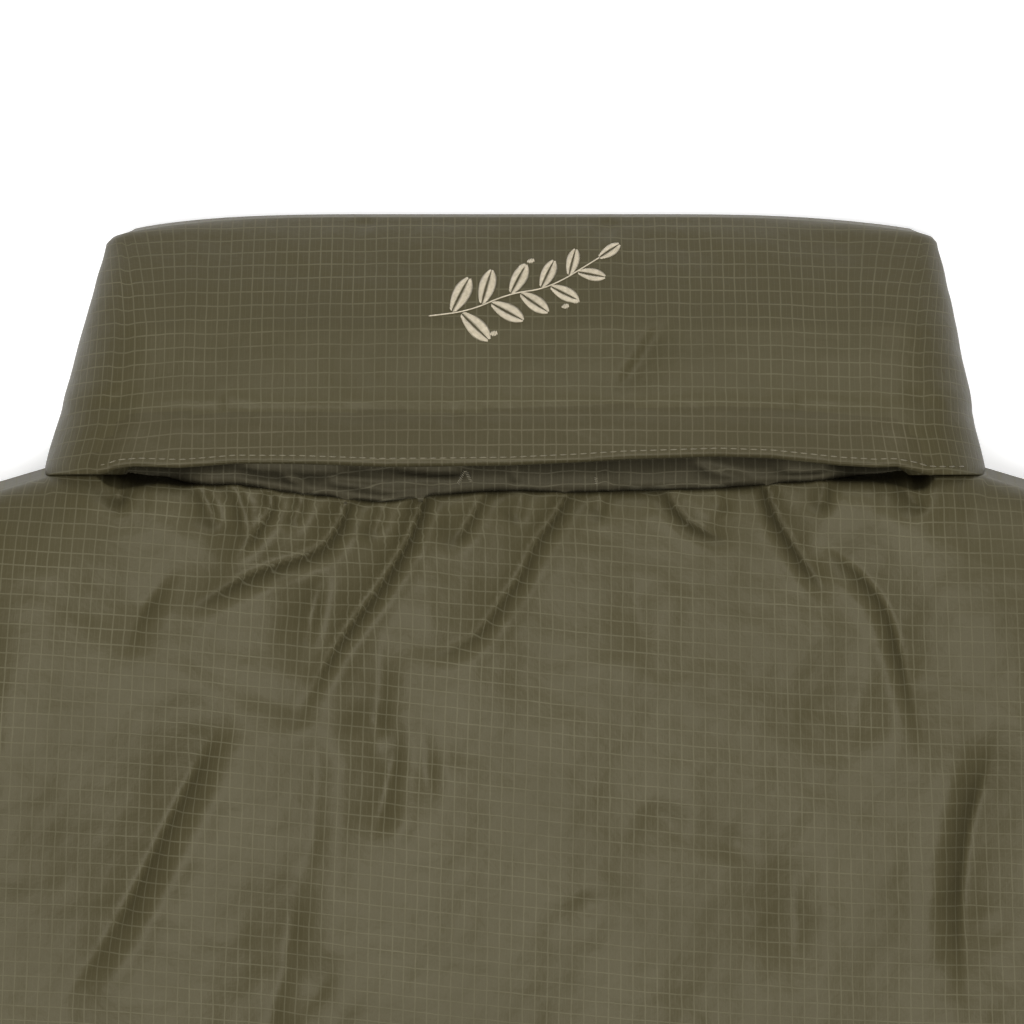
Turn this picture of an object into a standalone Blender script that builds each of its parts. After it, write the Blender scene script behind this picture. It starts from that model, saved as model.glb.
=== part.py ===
"""A down jacket laid flat with its back up: padded panels, a tall stand collar and a front zip.

The jacket lies on its fronts, which are flat underneath. Its collar points to +Y, its back faces +Z,
and the wearer's right side is at +X. The origin is on the surface that it lies on, under the middle
of its outline. Sizes are in millimetres, measured from the centre line and the collar seam, and
become metres as each mesh is made.
"""

import math

import bmesh
import bpy
import numpy as np

MM = 0.001
JACKET = "down_jacket"

# Where the collar seam lies: half of the overall length above the origin.
COLLAR_HEIGHT = 75.0
BODY_LENGTH = 685.0
SEAM_Y = (BODY_LENGTH - COLLAR_HEIGHT) / 2

# The body's outline, laid flat, on the wearer's right.
NECK_SIDE = (142.0, -3.0)
SHOULDER_END = (250.0, -35.0)
ARMHOLE_BENDS = ((236.0, -112.0), (236.0, -228.0))
UNDERARM = (300.0, -290.0)
WAIST = (287.0, -480.0)
HEM_SIDE = (286.0, -681.0)

# The sleeve's outline, from the armhole to the cuff.
OVERARM_BENDS = ((392.0, -72.0), (520.0, -330.0))
CUFF_OUTER = (631.0, -570.0)
CUFF_INNER = (543.0, -632.0)
UNDERARM_BEND = (418.0, -452.0)

# The padding: a panel's thickness away from its seams, at its seams, and how fast it rounds off.
LOW_MIDDLE = 13.0
NECK_MIDDLE = 28.5
BACK_LOFT = 17.0
NECK_LOFT = 25.0
SEAM_WALL = 6.0
EDGE_ROUND = 36.0
SLEEVE_LOFT = 33.0
SLEEVE_ROUND = 30.0
SLEEVE_SLIT = 1.6
SLEEVE_SIDE_WALL = 9.0
SEAM_GAP = 0.45
SLEEVE_GAP = 0.9
SHARED_X_START = 150.0
SHARED_X_END = 265.0
SHARED_Y_START = -10.0
SHARED_Y_END = -270.0
SHARED_SIDE_SHARE = 0.5

# The front zip, on the centre line of the underside.
FRONT_EDGE = 0.4
TAPE_STEP = 6.1
TAPE_STEP_END = 6.4
STEP_TOP = 8.8
CHANNEL_TOP = 4.0
CHANNEL_ROUND = 24.0
TAPE_OUTER = 5.8
TAPE_LOW, TAPE_HIGH = 5.0, 6.2
CHAIN_WIDTH = 1.5
CHAIN_GAP = 0.15
CHAIN_LOW, CHAIN_HIGH = 4.3, 6.9
CHAIN_BEVEL = 0.5
SLIDER_LENGTH = 10.0
SLIDER_HALF_WIDTH = 4.0
SLIDER_TOP_Y = 19.0
SLIDER_NOSE = 3.0
SLIDER_PLATE = 1.0
BRIDGE_HALF_LENGTH = 3.5
BRIDGE_HALF_WIDTH = 0.8
BRIDGE_LOW = 0.2
BRIDGE_BAR = 0.7
PULL_AXIS_Z = 1.9
PULL_THICKNESS = 1.2
PULL_LENGTH = 30.0
PULL_TOP_WIDTH = 5.2
PULL_END_WIDTH = 7.0
PULL_WINDOW_HALF = 1.2
PULL_WINDOW_END = 4.6
BOX_LENGTH = 12.0
BOX_HALF_WIDTH = 3.5
BOX_LOW, BOX_HIGH = 3.6, 7.6
CLEARANCE = 0.3

# The collar's front half, under its back half.
FRONT_NECK_DROP = 54.0
FRONT_NECK_SIDE_Y = -4.0
FRONT_NECK_HALF = 112.0
FRONT_TOP_CENTRE = 22.0
FRONT_TOP_SIDE = 66.0
FRONT_TOP_HALF = 105.0
BACK_TOP_SIDE = 70.0
BACK_TOP_FLAT_HALF = 75.0
BACK_TOP_SIDE_HALF = 124.0
COLLAR_SLIT = 0.6
LIP_WALL = 4.0
POCKET_DEPTH = 12.0
POCKET_FLOOR = 45.0
POCKET_INNER_HEIGHT = 3.6
POCKET_CLOSED_X = 123.0
POCKET_OPEN_X = 112.0
FACING_THICKNESS = 1.2

# The collar from its seam up: its left and right side lines and the height of its back.
COLLAR_COLUMNS = ("y", "left_x", "right_x", "top_z")
COLLAR_SECTIONS = (
    (0.0, -143.0, 142.5, 57.0),
    (12.0, -139.5, 139.5, 56.0),
    (22.0, -137.0, 138.0, 52.8),
    (32.0, -134.5, 136.0, 48.3),
    (42.0, -132.0, 134.5, 42.8),
    (54.0, -128.8, 132.0, 33.8),
    (63.0, -126.5, 130.5, 26.0),
    (71.0, -124.0, 128.5, 18.5),
    (75.0, -122.0, 127.0, 14.0),
)

# The hood pocket's mouth: the collar's free lower edge, and the gathered top edge of the back.
MOUTH_COLUMNS = ("x", "lip_y", "back_y")
MOUTH_SECTIONS = (
    (-143.0, -2.6, -3.0),
    (-123.0, -2.6, -3.4),
    (-113.0, -0.4, -5.2),
    (-100.0, -0.6, -6.3),
    (-84.0, 0.6, -6.3),
    (-65.0, 0.9, -9.0),
    (-40.0, 0.9, -11.6),
    (-25.0, 0.9, -9.3),
    (-2.0, 0.9, -8.1),
    (18.0, 1.2, -8.6),
    (32.0, 1.8, -8.1),
    (61.0, 2.7, -7.5),
    (77.0, 2.1, -6.0),
    (97.0, -0.3, -4.5),
    (107.0, -1.2, -4.0),
    (123.0, -2.6, -3.4),
    (143.0, -2.6, -3.0),
)

# Soft folds in the back: start, bend, end, then how wide and how deep each is.
BACK_FOLDS = (
    ((-95, -28), (-113, -41), (-118, -57), 6.0, 2.2),
    ((-94, -9), (-91, -14), (-89, -20), 5.0, 2.0),
    ((-74, -9), (-78, -20), (-86, -30), 5.5, 2.4),
    ((-52, -12), (-62, -28), (-98, -45), 8.0, 4.0),
    ((-28, -11), (-37, -30), (-61, -67), 7.0, 3.6),
    ((-10, -9), (-15, -19), (-21, -28), 5.5, 2.0),
    ((14, -9), (5, -26), (-21, -58), 7.0, 2.8),
    ((46, -8), (51, -17), (66, -23), 5.5, 2.2),
    ((75, -8), (82, -22), (95, -42), 6.5, 2.8),
    ((90, -21), (113, -42), (123, -89), 7.0, 3.0),
    ((-61, -33), (-62, -49), (-67, -65), 7.0, 1.8),
    ((-41, -45), (-41, -70), (-42, -98), 7.0, 1.8),
    ((-86, -73), (-108, -108), (-142, -167), 10.0, 4.2),
    ((-64, -116), (-70, -146), (-80, -195), 9.0, 2.6),
    ((146, -78), (135, -116), (138, -165), 9.0, 4.0),
    ((82, -107), (85, -132), (84, -170), 8.0, 1.6),
    ((232, -130), (180, -180), (150, -260), 13.0, 3.6),
    ((-238, -150), (-190, -215), (-172, -300), 13.0, 3.6),
    ((285, -300), (210, -345), (120, -370), 15.0, 3.4),
    ((-285, -305), (-215, -340), (-130, -385), 15.0, 3.4),
    ((40, -230), (30, -300), (48, -375), 14.0, 2.2),
    ((-60, -290), (-75, -360), (-66, -430), 14.0, 2.4),
    ((215, -430), (180, -500), (190, -590), 16.0, 2.8),
    ((-225, -450), (-190, -520), (-205, -610), 16.0, 2.6),
    ((100, -480), (86, -560), (96, -640), 15.0, 2.0),
    ((-95, -520), (-84, -590), (-100, -660), 15.0, 2.0),
)

# Soft folds on a sleeve, as shares: along it, across it, slant, length and width, then the depth.
SLEEVE_FOLDS = (
    (0.16, 0.30, 0.10, 0.30, 0.030, 3.0),
    (0.25, 0.72, -0.08, 0.34, 0.028, 3.2),
    (0.40, 0.62, -0.05, 0.36, 0.026, 3.0),
    (0.52, 0.70, 0.04, 0.42, 0.024, 3.4),
    (0.60, 0.38, 0.06, 0.34, 0.024, 2.6),
    (0.74, 0.58, -0.05, 0.38, 0.024, 2.4),
    (0.88, 0.44, 0.05, 0.40, 0.022, 2.0),
)

# The meshes' columns and rows.
FRONT_COLUMNS_X = (FRONT_EDGE, TAPE_STEP, TAPE_STEP_END, 12.0, 20.0, 31.0, 55.0, 84.0, 113.0)
SHOULDER_COLUMNS_X = (142.0, 160.0, 178.0, 196.0, 214.0, 232.0, 250.0)
FRONT_SHOULDER_X = (142.0, 169.0, 196.0, 223.0, 250.0)
NECK_COLUMNS = 27
BACK_ROWS = 32
FRONT_ROWS = 24
FIRST_ROW_SHARE = 0.38
SLEEVE_STATIONS = (0.0, 0.015, 0.045, 0.09, 0.15, 0.22, *np.linspace(0.3, 0.94, 9), 1.0)
SLEEVE_ACROSS = (0.0, 0.02, 0.07, 0.16, 0.3, 0.44, 0.57, 0.7, 0.84, 0.93, 0.98, 1.0)
FOLD_STEPS = 7
COLLAR_RISES = (0.05, 0.16, 0.3, 0.43, 0.56, 0.69, 0.81, 0.91, 0.97)

FINISHES = {
    "shell": ((0.125, 0.108, 0.066), 0.5, 0.0),
    "facing": ((0.062, 0.055, 0.036), 0.6, 0.0),
    "tape": ((0.045, 0.042, 0.033), 0.75, 0.0),
    "zip_metal": ((0.052, 0.048, 0.04), 0.38, 0.9),
}


def blend(low, high, share):
    """The value that lies a share of the way from low to high."""
    return low + (high - low) * share


def ease(value):
    """A share from 0 to 1 that starts and ends gently."""
    share = np.clip(value, 0.0, 1.0)
    return share * share * (3.0 - 2.0 * share)


def round_off(distance, radius):
    """A quarter circle's rise: 0 at an edge and 1 from the radius on."""
    share = np.clip(distance / radius, 0.0, 1.0)
    return np.sqrt(1.0 - (1.0 - share) ** 2)


def wave_down(value, start, end):
    """1 up to the start and 0 from the end on, with half a cosine between them."""
    share = np.clip((value - start) / (end - start), 0.0, 1.0)
    return 0.5 * (1.0 + math.cos(math.pi * share))


def column(table, columns, name):
    """One named column of a table."""
    place = columns.index(name)
    return np.array([row[place] for row in table], float)


def read(table, columns, key, value, name):
    """A named column's value where the key column has this value, straight between the rows."""
    return float(np.interp(value, column(table, columns, key), column(table, columns, name)))


def bezier(points, share):
    """A point on the Bezier curve with these two, three or four control points."""
    rest = [np.array(point, float) for point in points]
    while len(rest) > 1:
        rest = [blend(a, b, share) for a, b in zip(rest[:-1], rest[1:], strict=True)]
    return rest[0]


def mirrored(point, side):
    """The point on the wearer's right (1) or left (-1)."""
    return np.array((side * point[0], point[1]))


def armhole(share, side=1):
    """A point on the armhole seam, from the shoulder's end to the underarm."""
    return mirrored(bezier((SHOULDER_END, *ARMHOLE_BENDS, UNDERARM), share), side)


def side_seam(share, side=1):
    """A point on the side seam, from the underarm to the hem."""
    return mirrored(bezier((UNDERARM, WAIST, HEM_SIDE), share), side)


ARMHOLE_SHARE = (SHOULDER_END[1] - UNDERARM[1]) / (SHOULDER_END[1] - HEM_SIDE[1])


def body_side(share, side=1):
    """A point on a body panel's long side, from the shoulder's end down to the hem."""
    if share <= ARMHOLE_SHARE:
        return armhole(share / ARMHOLE_SHARE, side)
    return side_seam((share - ARMHOLE_SHARE) / (1 - ARMHOLE_SHARE), side)


def shoulder_y(x):
    """The shoulder seam's place at a distance from the centre line."""
    share = (abs(x) - NECK_SIDE[0]) / (SHOULDER_END[0] - NECK_SIDE[0])
    return blend(NECK_SIDE[1], SHOULDER_END[1], share)


def back_top_y(x):
    """The back's top edge: the mouth's gathered edge, then the shoulder seam."""
    if abs(x) >= NECK_SIDE[0]:
        return shoulder_y(x)
    return read(MOUTH_SECTIONS, MOUTH_COLUMNS, "x", x, "back_y")


def front_neck_y(x):
    """The front's neckline, which dips to the zip."""
    share = min(1.0, abs(x) / FRONT_NECK_HALF)
    return FRONT_NECK_SIDE_Y - FRONT_NECK_DROP * math.cos(math.pi / 2 * share) ** 2


def front_top_y(x):
    """A front's top edge: the neckline, then the shoulder seam."""
    return min(front_neck_y(x), shoulder_y(x)) if abs(x) >= NECK_SIDE[0] else front_neck_y(x)


def hem_y(x):
    """The hem, which rises a little to the side seams."""
    return blend(-BODY_LENGTH, HEM_SIDE[1], (x / HEM_SIDE[0]) ** 2)


def collar_read(y, name):
    """A value of the collar's sections at a height above the seam."""
    return read(COLLAR_SECTIONS, COLLAR_COLUMNS, "y", max(0.0, y), name)


def middle_z(x, y):
    """The height where the layer that lies on the surface ends and the upper layer starts."""
    if y >= 0:
        return collar_read(y, "top_z") / 2
    down = wave_down(y, SHARED_Y_START, SHARED_Y_END)
    aside = blend(SHARED_SIDE_SHARE, 1.0, wave_down(abs(x), SHARED_X_START, SHARED_X_END))
    return LOW_MIDDLE + (NECK_MIDDLE - LOW_MIDDLE) * down * aside


def outline(half):
    """The seams round a body panel away from the neck, as a fine run of points."""
    sides = (-1, 1) if half == "both" else (half,)
    runs = []
    for side in sides:
        runs.append([mirrored(bezier((NECK_SIDE, SHOULDER_END), k / 12), side) for k in range(13)])
        runs.append([body_side(k / 60, side) for k in range(61)])
        runs.append([np.array((side * x, hem_y(x))) for x in np.linspace(0, HEM_SIDE[0], 24)])
    return runs


def distance_to_run(point, run):
    """How far a point is from a run of short straight stretches."""
    run = np.array(run)
    start, step = run[:-1], np.diff(run, axis=0)
    share = ((point - start) * step).sum(1) / np.maximum((step * step).sum(1), 1e-9)
    nearest = start + np.clip(share, 0, 1)[:, None] * step
    return float(np.linalg.norm(nearest - point, axis=1).min())


OUTLINES = {half: outline(half) for half in ("both", -1, 1)}


def to_seam(x, y, half):
    """How far a place on a panel is from its nearest outer seam."""
    point = np.array((x, y))
    return min(distance_to_run(point, run) for run in OUTLINES[half])


FOLD_RUNS = [[bezier(row[:3], k / 10) for k in range(11)] for row in BACK_FOLDS]


def fold_depth(x, y):
    """How far the folds pull the back's surface down at a place, with a slight swell beside them."""
    point, total = np.array((x, y)), 0.0
    for row, run in zip(BACK_FOLDS, FOLD_RUNS, strict=True):
        width, depth = row[3:]
        away = distance_to_run(point, run) / width
        total += depth * (math.exp(-away * away) - 0.3 * math.exp(-((away - 1.9) ** 2)))
    return total


def back_loft(x, y):
    """The back's thickness away from its seams, more near the neck, with broad uneven swells."""
    base = blend(BACK_LOFT, NECK_LOFT, wave_down(y, SHARED_Y_START, SHARED_Y_END))
    swell = math.sin(x / 47 + y / 83 + 0.6) * math.sin(y / 61 - x / 140 + 0.4)
    return base + 1.6 * swell


def back_high(x, y):
    """The back's outer surface."""
    seam, top = to_seam(x, y, "both"), back_top_y(x)
    full = SEAM_WALL + (back_loft(x, y) - SEAM_WALL - fold_depth(x, y)) * round_off(seam, EDGE_ROUND)
    base = middle_z(x, y) + SEAM_GAP
    if abs(x) >= NECK_SIDE[0]:
        return base + full
    edge = blend(full * 0.9, POCKET_FLOOR + 1.9 - base, mouth_open(x))
    roll = round_off(max(0.0, top - y), 9.0)
    return base + blend(min(edge, full), full, roll)


def back_low(x, y):
    """The back's inner surface."""
    return middle_z(x, y) + SEAM_GAP


def front_channel(x):
    """How high the underside lies beside the zip."""
    if abs(x) < TAPE_STEP_END:
        return STEP_TOP
    return CHANNEL_TOP * (1 - ease((abs(x) - TAPE_STEP_END) / CHANNEL_ROUND))


def front_low(x, y, half):
    """A front's outer surface, flat on the surface that the jacket lies on."""
    top = middle_z(x, y) - SEAM_GAP
    edge = (top - SEAM_WALL) * (1 - round_off(to_seam(x, y, half), EDGE_ROUND))
    return max(edge, min(front_channel(x), top - 2.0))


def front_high(x, y):
    """A front's inner surface."""
    return middle_z(x, y) - SEAM_GAP


def mouth_open(x):
    """How far the hood pocket's mouth is open here, from 0 at its ends to 1."""
    return float(ease((POCKET_CLOSED_X - abs(x)) / (POCKET_CLOSED_X - POCKET_OPEN_X)))


def rows_down(count):
    """Shares down a panel that start close together, with one at the underarm."""
    even = np.linspace(0, 1, count + 1)
    rows = FIRST_ROW_SHARE * even + (1 - FIRST_ROW_SHARE) * even**2
    rows[np.argmin(abs(rows - ARMHOLE_SHARE))] = ARMHOLE_SHARE
    return rows


def between_sides(top, hem, left, right, across, down):
    """A place inside four curved sides, from its shares across and down (a Coons patch)."""
    edges = (1 - down) * top + down * hem
    sides = (1 - across) * left(down) + across * right(down)
    corners = (1 - across) * ((1 - down) * left(0.0) + down * left(1.0))
    corners = corners + across * ((1 - down) * right(0.0) + down * right(1.0))
    return edges + sides - corners


def back_place(x, down):
    """A place on the back, from its column's distance from the centre line and its share down."""
    widen = HEM_SIDE[0] / SHOULDER_END[0]
    top, hem = np.array((x, back_top_y(x))), np.array((x * widen, hem_y(x * widen)))
    across = (x / SHOULDER_END[0] + 1) / 2
    return between_sides(top, hem, lambda v: body_side(v, -1), body_side, across, down)


def front_place(x, down, side):
    """A place on a front, whose columns by the zip stay straight."""
    share = max(0.0, (x - FRONT_COLUMNS_X[5]) / (SHOULDER_END[0] - FRONT_COLUMNS_X[5]))
    hem_x = x + (HEM_SIDE[0] - SHOULDER_END[0]) * share
    top, hem = np.array((x, front_top_y(x))), np.array((hem_x, hem_y(hem_x)))
    centre_top, centre_hem = front_neck_y(0.0), hem_y(0.0)

    def zip_side(v):
        return np.array((0.0, blend(centre_top, centre_hem, v)))

    place = between_sides(top, hem, zip_side, body_side, share, down)
    return mirrored(place, side)


def finish(name):
    """A named finish, as a Principled material."""
    material = bpy.data.materials.get(name) or bpy.data.materials.new(name)
    material.use_nodes = True
    colour, roughness, metallic = FINISHES[name]
    shader = material.node_tree.nodes["Principled BSDF"]
    shader.inputs["Base Color"].default_value = (*colour, 1.0)
    shader.inputs["Roughness"].default_value = roughness
    shader.inputs["Metallic"].default_value = metallic
    material.diffuse_color = (*colour, 1.0)
    return material


def keep(obj, finish_name):
    """Puts an object in the jacket's collection and gives it its finish."""
    bpy.data.collections[JACKET].objects.link(obj)
    obj.data.materials.append(finish(finish_name))
    return obj


def from_bmesh(name, shape, finish_name):
    """A smooth-shaded object from a finished bmesh, with its faces pointing out."""
    bmesh.ops.recalc_face_normals(shape, faces=shape.faces)
    mesh = bpy.data.meshes.new(name)
    shape.to_mesh(mesh)
    shape.free()
    mesh.shade_smooth()
    mesh.set_sharp_from_angle(angle=math.radians(40))
    return keep(bpy.data.objects.new(name, mesh), finish_name)


def world(x, y, z):
    """A place in metres, in the jacket's frame."""
    return (x * MM, (y + SEAM_Y) * MM, z * MM)


def padded_panel(name, columns, rows, place, low, high, finish_name="shell"):
    """A closed panel: one grid for its outer surface, one for its inner, and a rim that joins them."""
    shape = bmesh.new()
    across, down = len(columns) - 1, len(rows) - 1
    for height in (high, low):
        grid = bmesh.ops.create_grid(shape, x_segments=across, y_segments=down, size=0.5)["verts"]
        for vert in grid:
            i = round((vert.co.x + 0.5) * across)
            j = round((0.5 - vert.co.y) * down)
            x, y = place(columns[i], rows[j])
            vert.co = world(x, y, height(x, y))
    rims = [edge for edge in shape.edges if edge.is_boundary]
    bmesh.ops.bridge_loops(shape, edges=rims)
    return from_bmesh(name, shape, finish_name)


def ring_faces(shape, first, second):
    """Faces between two loops of the same number of points."""
    count = len(first)
    for k in range(count):
        n = (k + 1) % count
        shape.faces.new((first[k], first[n], second[n], second[k]))


def loft(shape, loops):
    """A skin through loops of places, and the loops' vertices."""
    rings = [[shape.verts.new(world(*place)) for place in loop] for loop in loops]
    for first, second in zip(rings[:-1], rings[1:], strict=True):
        ring_faces(shape, first, second)
    return rings


def back_panel():
    """The back, one piece from shoulder to shoulder."""
    neck = np.linspace(-FRONT_COLUMNS_X[-1], FRONT_COLUMNS_X[-1], NECK_COLUMNS)
    beyond = (FRONT_COLUMNS_X[-1] + NECK_SIDE[0]) / 2
    sides = (beyond, *SHOULDER_COLUMNS_X)
    columns = (*(-x for x in reversed(sides)), *neck, *sides)
    return padded_panel("back_panel", columns, rows_down(BACK_ROWS), back_place, back_low, back_high)


def front_panel(name, side):
    """A front, from the zip to the side seam."""
    beyond = (FRONT_COLUMNS_X[-1] + NECK_SIDE[0]) / 2
    columns = (*FRONT_COLUMNS_X, beyond, *FRONT_SHOULDER_X)
    return padded_panel(
        name,
        columns,
        rows_down(FRONT_ROWS),
        lambda x, down: front_place(x, down, side),
        lambda x, y: front_low(x, y, side),
        front_high,
    )


def sleeve_place(along, across, side):
    """A place on a sleeve, from its shares along and across: bowed at the armhole, then straight."""
    over = bezier((SHOULDER_END, *OVERARM_BENDS, CUFF_OUTER), along)
    under = bezier((UNDERARM, UNDERARM_BEND, CUFF_INNER), along)
    bow = armhole(across) - blend(armhole(0.0), armhole(1.0), across)
    step = SLEEVE_GAP * np.array((1.0, across**4))
    return mirrored(blend(over, under, across) + bow * (1 - ease(along / 0.35)) + step, side)


def sleeve_fold(along, across):
    """How far a sleeve's folds pull its surface down."""
    total = 0.0
    for at, middle, slant, length, width, depth in SLEEVE_FOLDS:
        off = (along - at - slant * (across - middle)) / width
        reach = (across - middle) / length
        total += depth * math.exp(-off * off - reach**4)
    return total


def sleeve_heights(along, across, side):
    """A sleeve's outer heights at a place, above and below, and its middle."""
    x, y = sleeve_place(along, across, side)
    over, under = sleeve_place(along, 0.0, side), sleeve_place(along, 1.0, side)
    width = float(np.linalg.norm(over - under))
    seam = middle_z(*armhole(across))
    length = float(np.linalg.norm(sleeve_place(along, 0.5, side) - sleeve_place(0.0, 0.5, side)))
    puff = float(round_off(length, EDGE_ROUND))
    cuff = blend(1.0, 0.7, ease((along - 0.8) / 0.2))
    settled = float(ease(along / 0.3))
    middle = blend(seam, SLEEVE_LOFT / 2 * cuff, settled)
    edge = float(round_off(width * min(across, 1 - across), SLEEVE_ROUND))
    rim = blend(SEAM_WALL + SEAM_GAP, 1.6, float(ease(length / EDGE_ROUND)))
    top = middle + rim + (SLEEVE_LOFT * cuff - middle - rim) * puff * edge
    top -= sleeve_fold(along, across) * puff * edge
    low = middle - rim - (middle - rim) * puff * edge
    return top, low, middle


def sleeve_loops(along, side):
    """A sleeve's outer and inner loops at one station."""
    upper, lower, ceiling, floor = [], [], [], []
    over, under = sleeve_place(along, 0.0, side), sleeve_place(along, 1.0, side)
    inset = SLEEVE_SIDE_WALL / float(np.linalg.norm(over - under))
    for across in SLEEVE_ACROSS:
        top, low, middle = sleeve_heights(along, across, side)
        x, y = sleeve_place(along, across, side)
        upper.append((x, y, top))
        lower.append((x, y, low))
        inner = blend(inset, 1 - inset, across)
        x, y = sleeve_place(along, inner, side)
        middle = sleeve_heights(along, inner, side)[2]
        ceiling.append((x, y, middle + SLEEVE_SLIT / 2))
        floor.append((x, y, middle - SLEEVE_SLIT / 2))
    return upper + lower[::-1], ceiling + floor[::-1]


def sleeve(name, side):
    """A sleeve: a flattened tube, open at the armhole and at the cuff."""
    pairs = [sleeve_loops(along, side) for along in SLEEVE_STATIONS]
    shape = bmesh.new()
    outer = loft(shape, [pair[0] for pair in pairs])
    inner = loft(shape, [pair[1] for pair in pairs])
    for end in (0, -1):
        ring_faces(shape, outer[end], inner[end])
    return from_bmesh(name, shape, "shell")


def collar_profile(x, turn, lowest):
    """The collar's section at one place round it, as pairs of height above the seam and depth out.

    turn goes from 1 on the back through 0 at the side fold to -1 on the front.
    """
    to_front = (1 - turn) / 2
    lip = read(MOUTH_SECTIONS, MOUTH_COLUMNS, "x", x, "lip_y")
    base = blend(read(MOUTH_SECTIONS, MOUTH_COLUMNS, "x", x, "back_y"), front_neck_y(x), to_front)
    base += SEAM_GAP
    share = (abs(x) - BACK_TOP_FLAT_HALF) / (BACK_TOP_SIDE_HALF - BACK_TOP_FLAT_HALF)
    back_top = blend(COLLAR_HEIGHT, BACK_TOP_SIDE, max(0.0, min(1.0, share)) ** 2)
    front_share = min(1.0, abs(x) / FRONT_TOP_HALF)
    front_top = blend(FRONT_TOP_CENTRE, FRONT_TOP_SIDE, math.sin(math.pi / 2 * front_share) ** 2)
    top = blend(back_top, front_top, to_front)
    mouth = mouth_open(x) if turn == 1 else 0.0
    start = blend(base, lip, mouth)

    def depth(y):
        return max(middle_z(0.0, y) - lowest, COLLAR_SLIT + 1.2)

    outer = [(blend(start, top, rise), depth(blend(start, top, rise))) for rise in COLLAR_RISES]
    edge = depth(start)
    floor = POCKET_FLOOR - NECK_MIDDLE
    shut = [edge - k * (edge - COLLAR_SLIT) / 7 for k in range(1, 6)]
    lips = [
        (start, blend(shut[0], edge - LIP_WALL / 2, mouth)),
        (blend(base, start + 0.8, mouth), blend(shut[1], edge - LIP_WALL, mouth)),
        (blend(base + 0.4, start + POCKET_DEPTH, mouth), blend(shut[2], floor + POCKET_INNER_HEIGHT, mouth)),
        (blend(base + 0.4, start + POCKET_DEPTH, mouth), blend(shut[3], floor, mouth)),
        (base, blend(shut[4], floor, mouth)),
    ]
    inner = [(blend(base, top, rise), COLLAR_SLIT) for rise in (0.0, 0.33, 0.66)]
    full = depth(top)
    rim = [(top, blend(COLLAR_SLIT, full, 0.18)), (top, blend(COLLAR_SLIT, full, 0.62))]
    return lips + inner + rim + outer[::-1]


def collar_loop(x, side, turn):
    """One section of the collar, placed. x is its distance from the centre line where it is flat."""
    if abs(turn) == 1:
        lowest = 0.0 if turn == 1 else front_channel(x)
        pairs = collar_profile(x, turn, lowest)
        return [(x, y, middle_z(0.0, y) + turn * depth) for y, depth in pairs]
    angle = turn * math.pi / 2
    name = "right_x" if side == 1 else "left_x"
    loop = []
    for y, depth in collar_profile(collar_read(0.0, name), turn, 0.0):
        middle = middle_z(0.0, y)
        centre = collar_read(y, name) - side * middle
        loop.append((centre + side * depth * math.cos(angle), y, middle + depth * math.sin(angle)))
    return loop


def collar():
    """The collar: a padded ring, open at the zip, whose lower edge is free along the hood pocket."""
    flat = FRONT_COLUMNS_X[-1]
    turns = [-1 + 2 * (k + 1) / (FOLD_STEPS + 1) for k in range(FOLD_STEPS)]
    loops = [collar_loop(x, 1, -1) for x in FRONT_COLUMNS_X]
    loops += [collar_loop(0.0, 1, turn) for turn in turns]
    loops += [collar_loop(x, 1, 1) for x in np.linspace(flat, -flat, NECK_COLUMNS)]
    loops += [collar_loop(0.0, -1, turn) for turn in reversed(turns)]
    loops += [collar_loop(-x, -1, -1) for x in reversed(FRONT_COLUMNS_X)]
    shape = bmesh.new()
    rings = loft(shape, loops)
    for end in (0, -1):
        shape.faces.new(rings[end])
    return from_bmesh("collar", shape, "shell")


def hood_pocket_facing():
    """The flat inner layer that shows in the hood pocket's mouth."""
    low = POCKET_FLOOR + CLEARANCE
    columns = np.linspace(-FRONT_COLUMNS_X[-1], FRONT_COLUMNS_X[-1], NECK_COLUMNS)[1:-1]

    def place(x, down):
        under_lip = read(MOUTH_SECTIONS, MOUTH_COLUMNS, "x", x, "lip_y") + POCKET_DEPTH - 1.0
        at_back = read(MOUTH_SECTIONS, MOUTH_COLUMNS, "x", x, "back_y") + 2 * SEAM_GAP
        return x, blend(under_lip, at_back, down)

    return padded_panel(
        "hood_pocket_facing",
        columns,
        (0.0, 0.5, 1.0),
        place,
        lambda x, y: low,
        lambda x, y: low + FACING_THICKNESS,
        "facing",
    )


def flat_outline(name, splines, thickness, finish_name):
    """A flat piece from closed outlines, the first its edge and the others its holes."""
    curve = bpy.data.curves.new(name, "CURVE")
    curve.dimensions = "2D"
    curve.fill_mode = "BOTH"
    curve.extrude = thickness / 2 * MM
    for points in splines:
        spline = curve.splines.new("POLY")
        spline.points.add(len(points) - 1)
        for point, (a, b) in zip(spline.points, points, strict=True):
            point.co = (a * MM, b * MM, 0.0, 1.0)
        spline.use_cyclic_u = True
    return keep(bpy.data.objects.new(name, curve), finish_name)


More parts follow.
